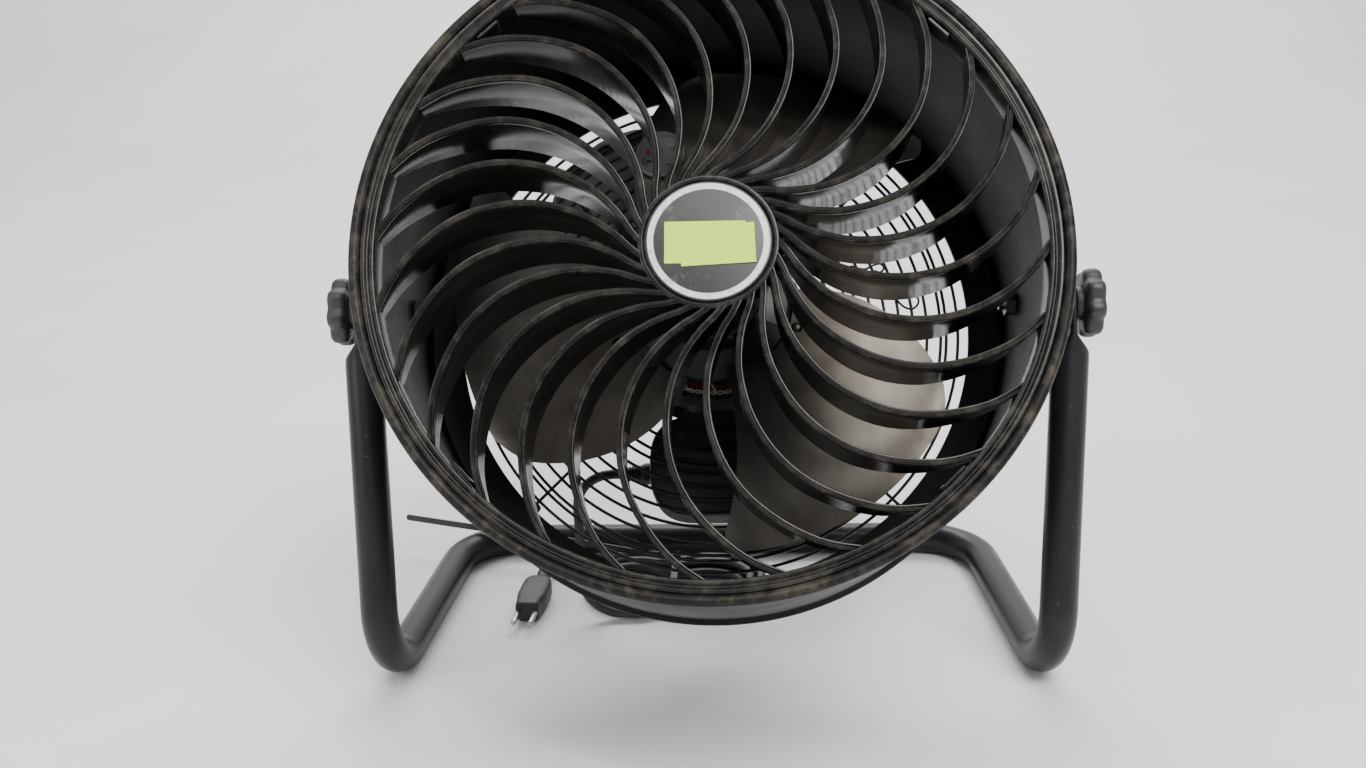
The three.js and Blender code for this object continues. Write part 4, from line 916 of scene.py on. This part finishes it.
# ---- motor
def motor():
    """Front bell with its four legs, laminated stack and finned rear bell with its ears."""
    bell = fillet([(7.8, 7), (26, 7, 2), (53, 0, 2), (53, -4), (50, -4), (50, -2), (25, 3.6), (14.3, 3.6),
                   (14.3, -2.9), (11.3, -2.9), (11.3, 3.7), (7.8, 3.7)], 0.5, 4)
    legs = []
    for a in DIAGONALS:
        legs.append(turned(prism(rounded_box(13, 10, 0.8, 55.5, 0, 2), -4, -1, 0.5), a))
        legs.append(turned(prism(rounded_box(3.4, 10, 0.6, 60.3, 0, 2), -15.7, -1, 0.4), a))
    add("front_bell_casting", merge(lathe(bell, 72), *legs), head, motor_enamel, "head",
        ("motor_front_bell",), 38)
    stack = [(36.4, -50)]
    for k in range(17):
        at = -50 + 2 * k
        stack += [(61.9, at + 0.1), (62, at + 0.4), (62, at + 1.7), (61.6, at + 1.9)]
    stack += [(61.8, -16), (36.4, -16)]
    add("lamination_stack", lathe(stack, 72), head, motor_enamel, "head",
        ("stator_stack",), 30)
    cup = [(0, -90), (50, -90, 2), (62, -82, 5)]
    for k in range(5):
        at = -79 + 5 * k
        cup += [(62, at, 0), (60.6, at + 0.8, 0), (60.6, at + 2, 0), (62, at + 2.8, 0)]
    cup += [(62, -50.4), (58.5, -50.4), (58.5, -80), (49, -86.5), (0, -86.5)]
    ear = prism(rounded_box(13, 12, 2, 65.5, 0, 4), -65, -60.1, 0.6)
    ears = [turned(ear, a) for a in DIAGONALS]
    cup = lathe(fillet(cup, 0.6, 3, False), 72, False)
    add("rear_bell_casting", merge(cup, *ears), head, motor_enamel, "head",
        ("motor_rear_bell",), 35)


def coils():
    """The wound front overhang: bundles of fine wire side by side, bound with pale lacing."""
    points = []
    steps = 48
    turns = 2.125  # inwards, and as many outwards
    for i in range(int(2 * turns * steps) + 1):
        turn = i / steps
        reach = turns - abs(turns - turn)
        rise = smooth(turn, turns - 0.25, turns + 0.25)
        points.append((*polar(43.5 + 5.6 * reach, 2 * math.pi * turn), -13.2 + rise * 5.55))
    shapes = []
    for k in range(9):
        a = 2 * math.pi * k / 9
        off = 0.0 if k == 8 else 1.62  # the last strand is the core
        strand = []
        for i, p in enumerate(points):
            twist = a + i * 0.11
            out = Vector((p[0], p[1], 0)).normalized()
            rise = Vector((0, 0, 1)) * off * math.sin(twist)
            strand.append(Vector(p) + out * off * math.cos(twist) + rise)
        shapes.append(tube(strand, 0.78, 6))
    add("coil_strands", merge(*shapes), head, copper_wire, "head",
        ("stator_winding",), 60)
    ties = []
    for k in range(18):
        a = 2 * math.pi * (k + 0.3) / 18
        loop = [(41, -15.2), (41, -5.6), (43, -4.7), (55, -4.7), (57.8, -6.2), (58.2, -9), (57.8, -13),
                (57.2, -15.6)]
        path = [(*polar(r, a + 0.1 * (r - 49) / 9), s) for r, s in loop]
        ties.append(tube(spline(path, 3), 0.8, 6, 0.8))
    steps = 72
    for phase in (0, math.pi):
        zigzag = []
        for i in range(8 * steps + 1):
            wave = 4.2 * math.cos(2 * math.pi * i / 16 + phase)
            zigzag.append((*polar(58.3, 2 * math.pi * i / (8 * steps)), -9.7 + wave))
        ties.append(tube(zigzag, 0.62, 5))
    add("coil_lacing", merge(*ties), head, lacing, "head", (), 60)


motor()
coils()


# ---- terminal box
BOX_MIDDLE, BOX_WIDE, BOX_HIGH = -99.3, 94, 73.4
BOX_BACK, BOX_FRONT, BOX_EDGE = -98, -62.5, 2.4


def terminal_box():
    """The box under the motor, open at the back, and its lid with four screw heads."""
    outline = rounded_box(BOX_WIDE, BOX_HIGH, 32, 0, BOX_MIDDLE, 10)
    inner = rounded_box(BOX_WIDE - 5, BOX_HIGH - 5, 29.5, 0, BOX_MIDDLE, 10)
    rings = [[(x, u, BOX_BACK) for x, u in outline], [(x, u, BOX_FRONT) for x, u in outline]]
    for k in range(1, 5):
        a = math.radians(22.5 * k)
        shrink = BOX_EDGE * (1 - math.cos(a))
        across, above = 1 - shrink / (BOX_WIDE / 2), 1 - shrink / (BOX_HIGH / 2)
        at = BOX_FRONT + BOX_EDGE * math.sin(a)
        rings.append([(x * across, BOX_MIDDLE + (u - BOX_MIDDLE) * above, at) for x, u in outline])
    front = skin(rings, False)
    cap = rings[-1], [tuple(range(len(outline)))]
    wall = skin([[(x, u, BOX_BACK) for x, u in outline], [(x, u, BOX_BACK) for x, u in inner],
                 [(x, u, BOX_FRONT - 1.5) for x, u in inner]], False)
    ribs = []
    for k in range(7):
        outer = rounded_box(60 - 2.2 * abs(k - 3) ** 2, 2, 0.9, 0, -78 - 7 * k, 3)
        ribs.append(prism(outer, -60.2, -59.98, 0.1))
    add("box_shell", merge(front, cap, wall, *ribs), head, black_plastic, "head",
        ("terminal_box",), 35)
    lid = prism(outline, -100.8, -98.3, 0.9)
    heads = []
    for x, u in ((-33, -80), (33, -80), (-33, -118), (33, -118)):
        dome = [(0, -102.4), (2.2, -102.2), (3.2, -101.4), (3.3, -100.6), (0, -100.6)]
        heads.append(moved(lathe(dome, 18, False), (x, u, 0)))
    add("box_lid", merge(lid, *heads), head, black_plastic, "head", ("box_cover",), 35)


terminal_box()


# ---- switch
SWITCH = polar(139.1, math.radians(105))


def switch():
    """The round switch with three studs on its face, and the screw in its middle."""
    front = -52.2
    disc = fillet([(0, -83), (14, -83), (14, -61), (2.4, -61), (2.4, front), (17.5, front),
                   (17.5, front + 2, 0.6), (15.2, front + 2.6), (14.6, front + 6.6, 1.2), (9, front + 7),
                   (8.6, front + 6.2), (0, front + 6.2)], 0.4, 3, False)
    parts = [lathe(disc, 56, False)]
    stud = prism(rounded_box(1.6, 5, 0.6, 11.7, 0, 2), front + 6.6, front + 7.3, 0.2)
    parts += [turned(stud, math.radians(a)) for a in (20, 140, 260)]
    add("switch_disc", moved(merge(*parts), (*SWITCH, 0)), head, grey_plastic, "head",
        ("speed_switch",), 35)
    screw = fillet([(0, 6.1), (3.4, 6.1), (3.4, 7.2), (1.2, 7.4), (0, 7.4)], 0.3, 3, False)
    slot_bar = prism(rounded_box(5.4, 0.9, 0.2, 0, 0, 2), 7.3, 7.5, 0.05)
    shape = merge(lathe(screw, 24, False), slot_bar)
    add("switch_screw", moved(shape, (*SWITCH, front)), head, steel, "head", (), 35)


def dial():
    """The knob behind the switch, with a fluted grip and a pointer."""
    seat = -84.35
    outline = []
    for k in range(96):
        a = 2 * math.pi * k / 96
        outline.append(polar(17.3 + 0.5 * math.cos(24 * a), a))
    rings = [[(x * f, u * f, seat - d) for x, u in outline]
             for f, d in ((0.2, 0), (0.96, 0), (1, 0.8), (1, 12.6), (0.97, 14.6), (0.9, 15.7), (0.2, 15.9))]
    pointer = moved(prism(rounded_box(2.6, 15, 1, 0, 8.6, 3), seat - 17.2, seat - 15, 0.5))
    shape = moved(merge(skin(rings), pointer), (*SWITCH, 0))
    add("dial_grip", shape, head, black_plastic, "dial", ("speed_dial",), 35)


switch()
dial()


# ---- pivots and star knobs
def side_place(point):
    """A point counted from the pivot axis, square to the floor."""
    x, y, z = point
    return Vector((x, y + SETBACK, z + HEIGHT)) * MM


# Rings of a star knob: radius, share of the hollows between its lobes, and station.
KNOB = [
    (6, 0, 246.4), (11.4, 0, 246.4), (12, 0, 247), (12, 0, 250.6), (19, 0.8, 250.9), (21.9, 1, 251.6),
    (23.1, 1, 252.8), (23.9, 1, 255), (23.9, 1, 259.6), (23.2, 1, 261.8), (21.8, 1, 263.1),
    (19.4, 0.8, 263.7), (9.4, 0, 263.7), (8.8, 0, 262.9), (4, 0, 262.8),
]
KNOB_LOBES, KNOB_HOLLOW = 8, 3.2

for side_name, side in (("left", -1), ("right", 1)):
    boss = fillet([(4.5, 209.8), (20, 209.8), (20, 217.6, 3), (16, 236, 1.2), (4.5, 236)], 0.6, 5)
    add("boss_" + side_name, along_x(lathe(boss, 64), side), side_place, black_plastic, "head",
        ("pivot_boss_" + side_name,), 40)
    washer = fillet([(4.5, 236.35), (17, 236.35), (17, 240.6), (4.5, 240.6)], 0.9, 4)
    add("washer_" + side_name, along_x(lathe(washer, 56), side), side_place, black_plastic, "head",
        ("pivot_washer_" + side_name,), 40)
    rings = []
    for radius, wave, at in KNOB:
        ring = []
        for k in range(96):
            a = 2 * math.pi * k / 96
            lobe = (1 - math.cos(KNOB_LOBES * a)) / 2
            ring.append((*polar(radius - KNOB_HOLLOW * wave * lobe**1.4, a), at))
        rings.append(ring)
    add("knob_" + side_name, along_x(skin(rings), side), side_place, knob_plastic, "knob_" + side_name,
        ("star_knob_" + side_name,), 50)


# ---- stand
TUBE = 12.6
LUG_SPAN, TOE_SPAN, HEEL_SPAN = 243.5, 229, 216
TOE_REACH, HEEL_REACH = 88, 152
SQUASH_START = 34  # below the pivot axis
# Levels of a lug along the leg, counted up from the pivot axis: half breadth and half thickness.
LUG_LEVELS = [
    (-40, 12.6, 12.6), (-34, 12.6, 12.6), (-31, 12.9, 11.2), (-28, 13.3, 8.6), (-25, 13.7, 5.6),
    (-22.5, 14, 3.4), (-20, 14.2, 2.5), (-10, 14.7, 2.5), (0, 14.9, 2.5),
]
LUG_END = [math.radians(a) for a in (20, 40, 55, 68, 78, 86)]


def stand():
    """The bent tube, with its ends squashed to round lugs."""
    base = 12.7 * math.cos(math.pi / 12) - 0.3
    lean = TOE_REACH / (HEIGHT - base)
    corners = []
    for side in (-1, 1):
        row = [(side * LUG_SPAN, -SQUASH_START * lean, HEIGHT - SQUASH_START),
               (side * TOE_SPAN, -TOE_REACH, base), (side * HEEL_SPAN, HEEL_REACH, base)]
        corners += row if side < 0 else row[::-1]
    path = rounded_route(corners, [37, 48, 48, 37], 14)
    shapes = [tube(path, TUBE, 36)]
    down = Vector((0, -lean, -1)).normalized()
    wide = Vector((0, 1, -lean)).normalized()
    levels = LUG_LEVELS + [(14.9 * math.sin(a), 14.9 * math.cos(a), 2.5) for a in LUG_END]
    splay = (LUG_SPAN - TOE_SPAN) / (HEIGHT - SQUASH_START - base)
    for side in (-1, 1):
        rings = []
        for height, breadth, thick in levels:
            shift = splay * min(0, height + SQUASH_START)
            ring = []
            for k in range(36):
                a = 2 * math.pi * k / 36
                power = 1.0 if thick > 12 else 0.55 + 0.45 * (thick - 2.5) / 10.1
                c = math.copysign(abs(math.cos(a)) ** power, math.cos(a)) * breadth
                b = math.copysign(abs(math.sin(a)) ** power, math.sin(a)) * thick
                ring.append(Vector((side * (LUG_SPAN + shift) + b, 0, HEIGHT)) + wide * c - down * height)
            rings.append(ring)
        shapes.append(skin(rings))
    shape = merge(*shapes)
    pressed = [(p[0], p[1], max(p[2], 0.05)) for p in shape[0]], shape[1]
    add("stand_frame", pressed, ground, stand_paint, "stand", ("stand_tube",), 40)


stand()

# ---- finishes of the solids that stay as they are
FINISHES = [
    (steel, ["bearing_front", "bearing_rear", "motor_rotor", "spider_screw_1", "spider_screw_2",
             "spider_screw_3", "spider_screw_4", "pivot_nut_left", "pivot_nut_right", "pivot_bolt_left",
             "pivot_bolt_right"]),
    (wire_paint, ["guard_bracket", "motor_spider"]),
    (copper_wire, ["rear_winding"]),
    (black_plastic, ["run_capacitor"]),
    (housing_grey, ["switch_housing"]),
]
for material, solids in FINISHES:
    for solid in solids:
        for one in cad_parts[solid].material_slots:
            one.material = material
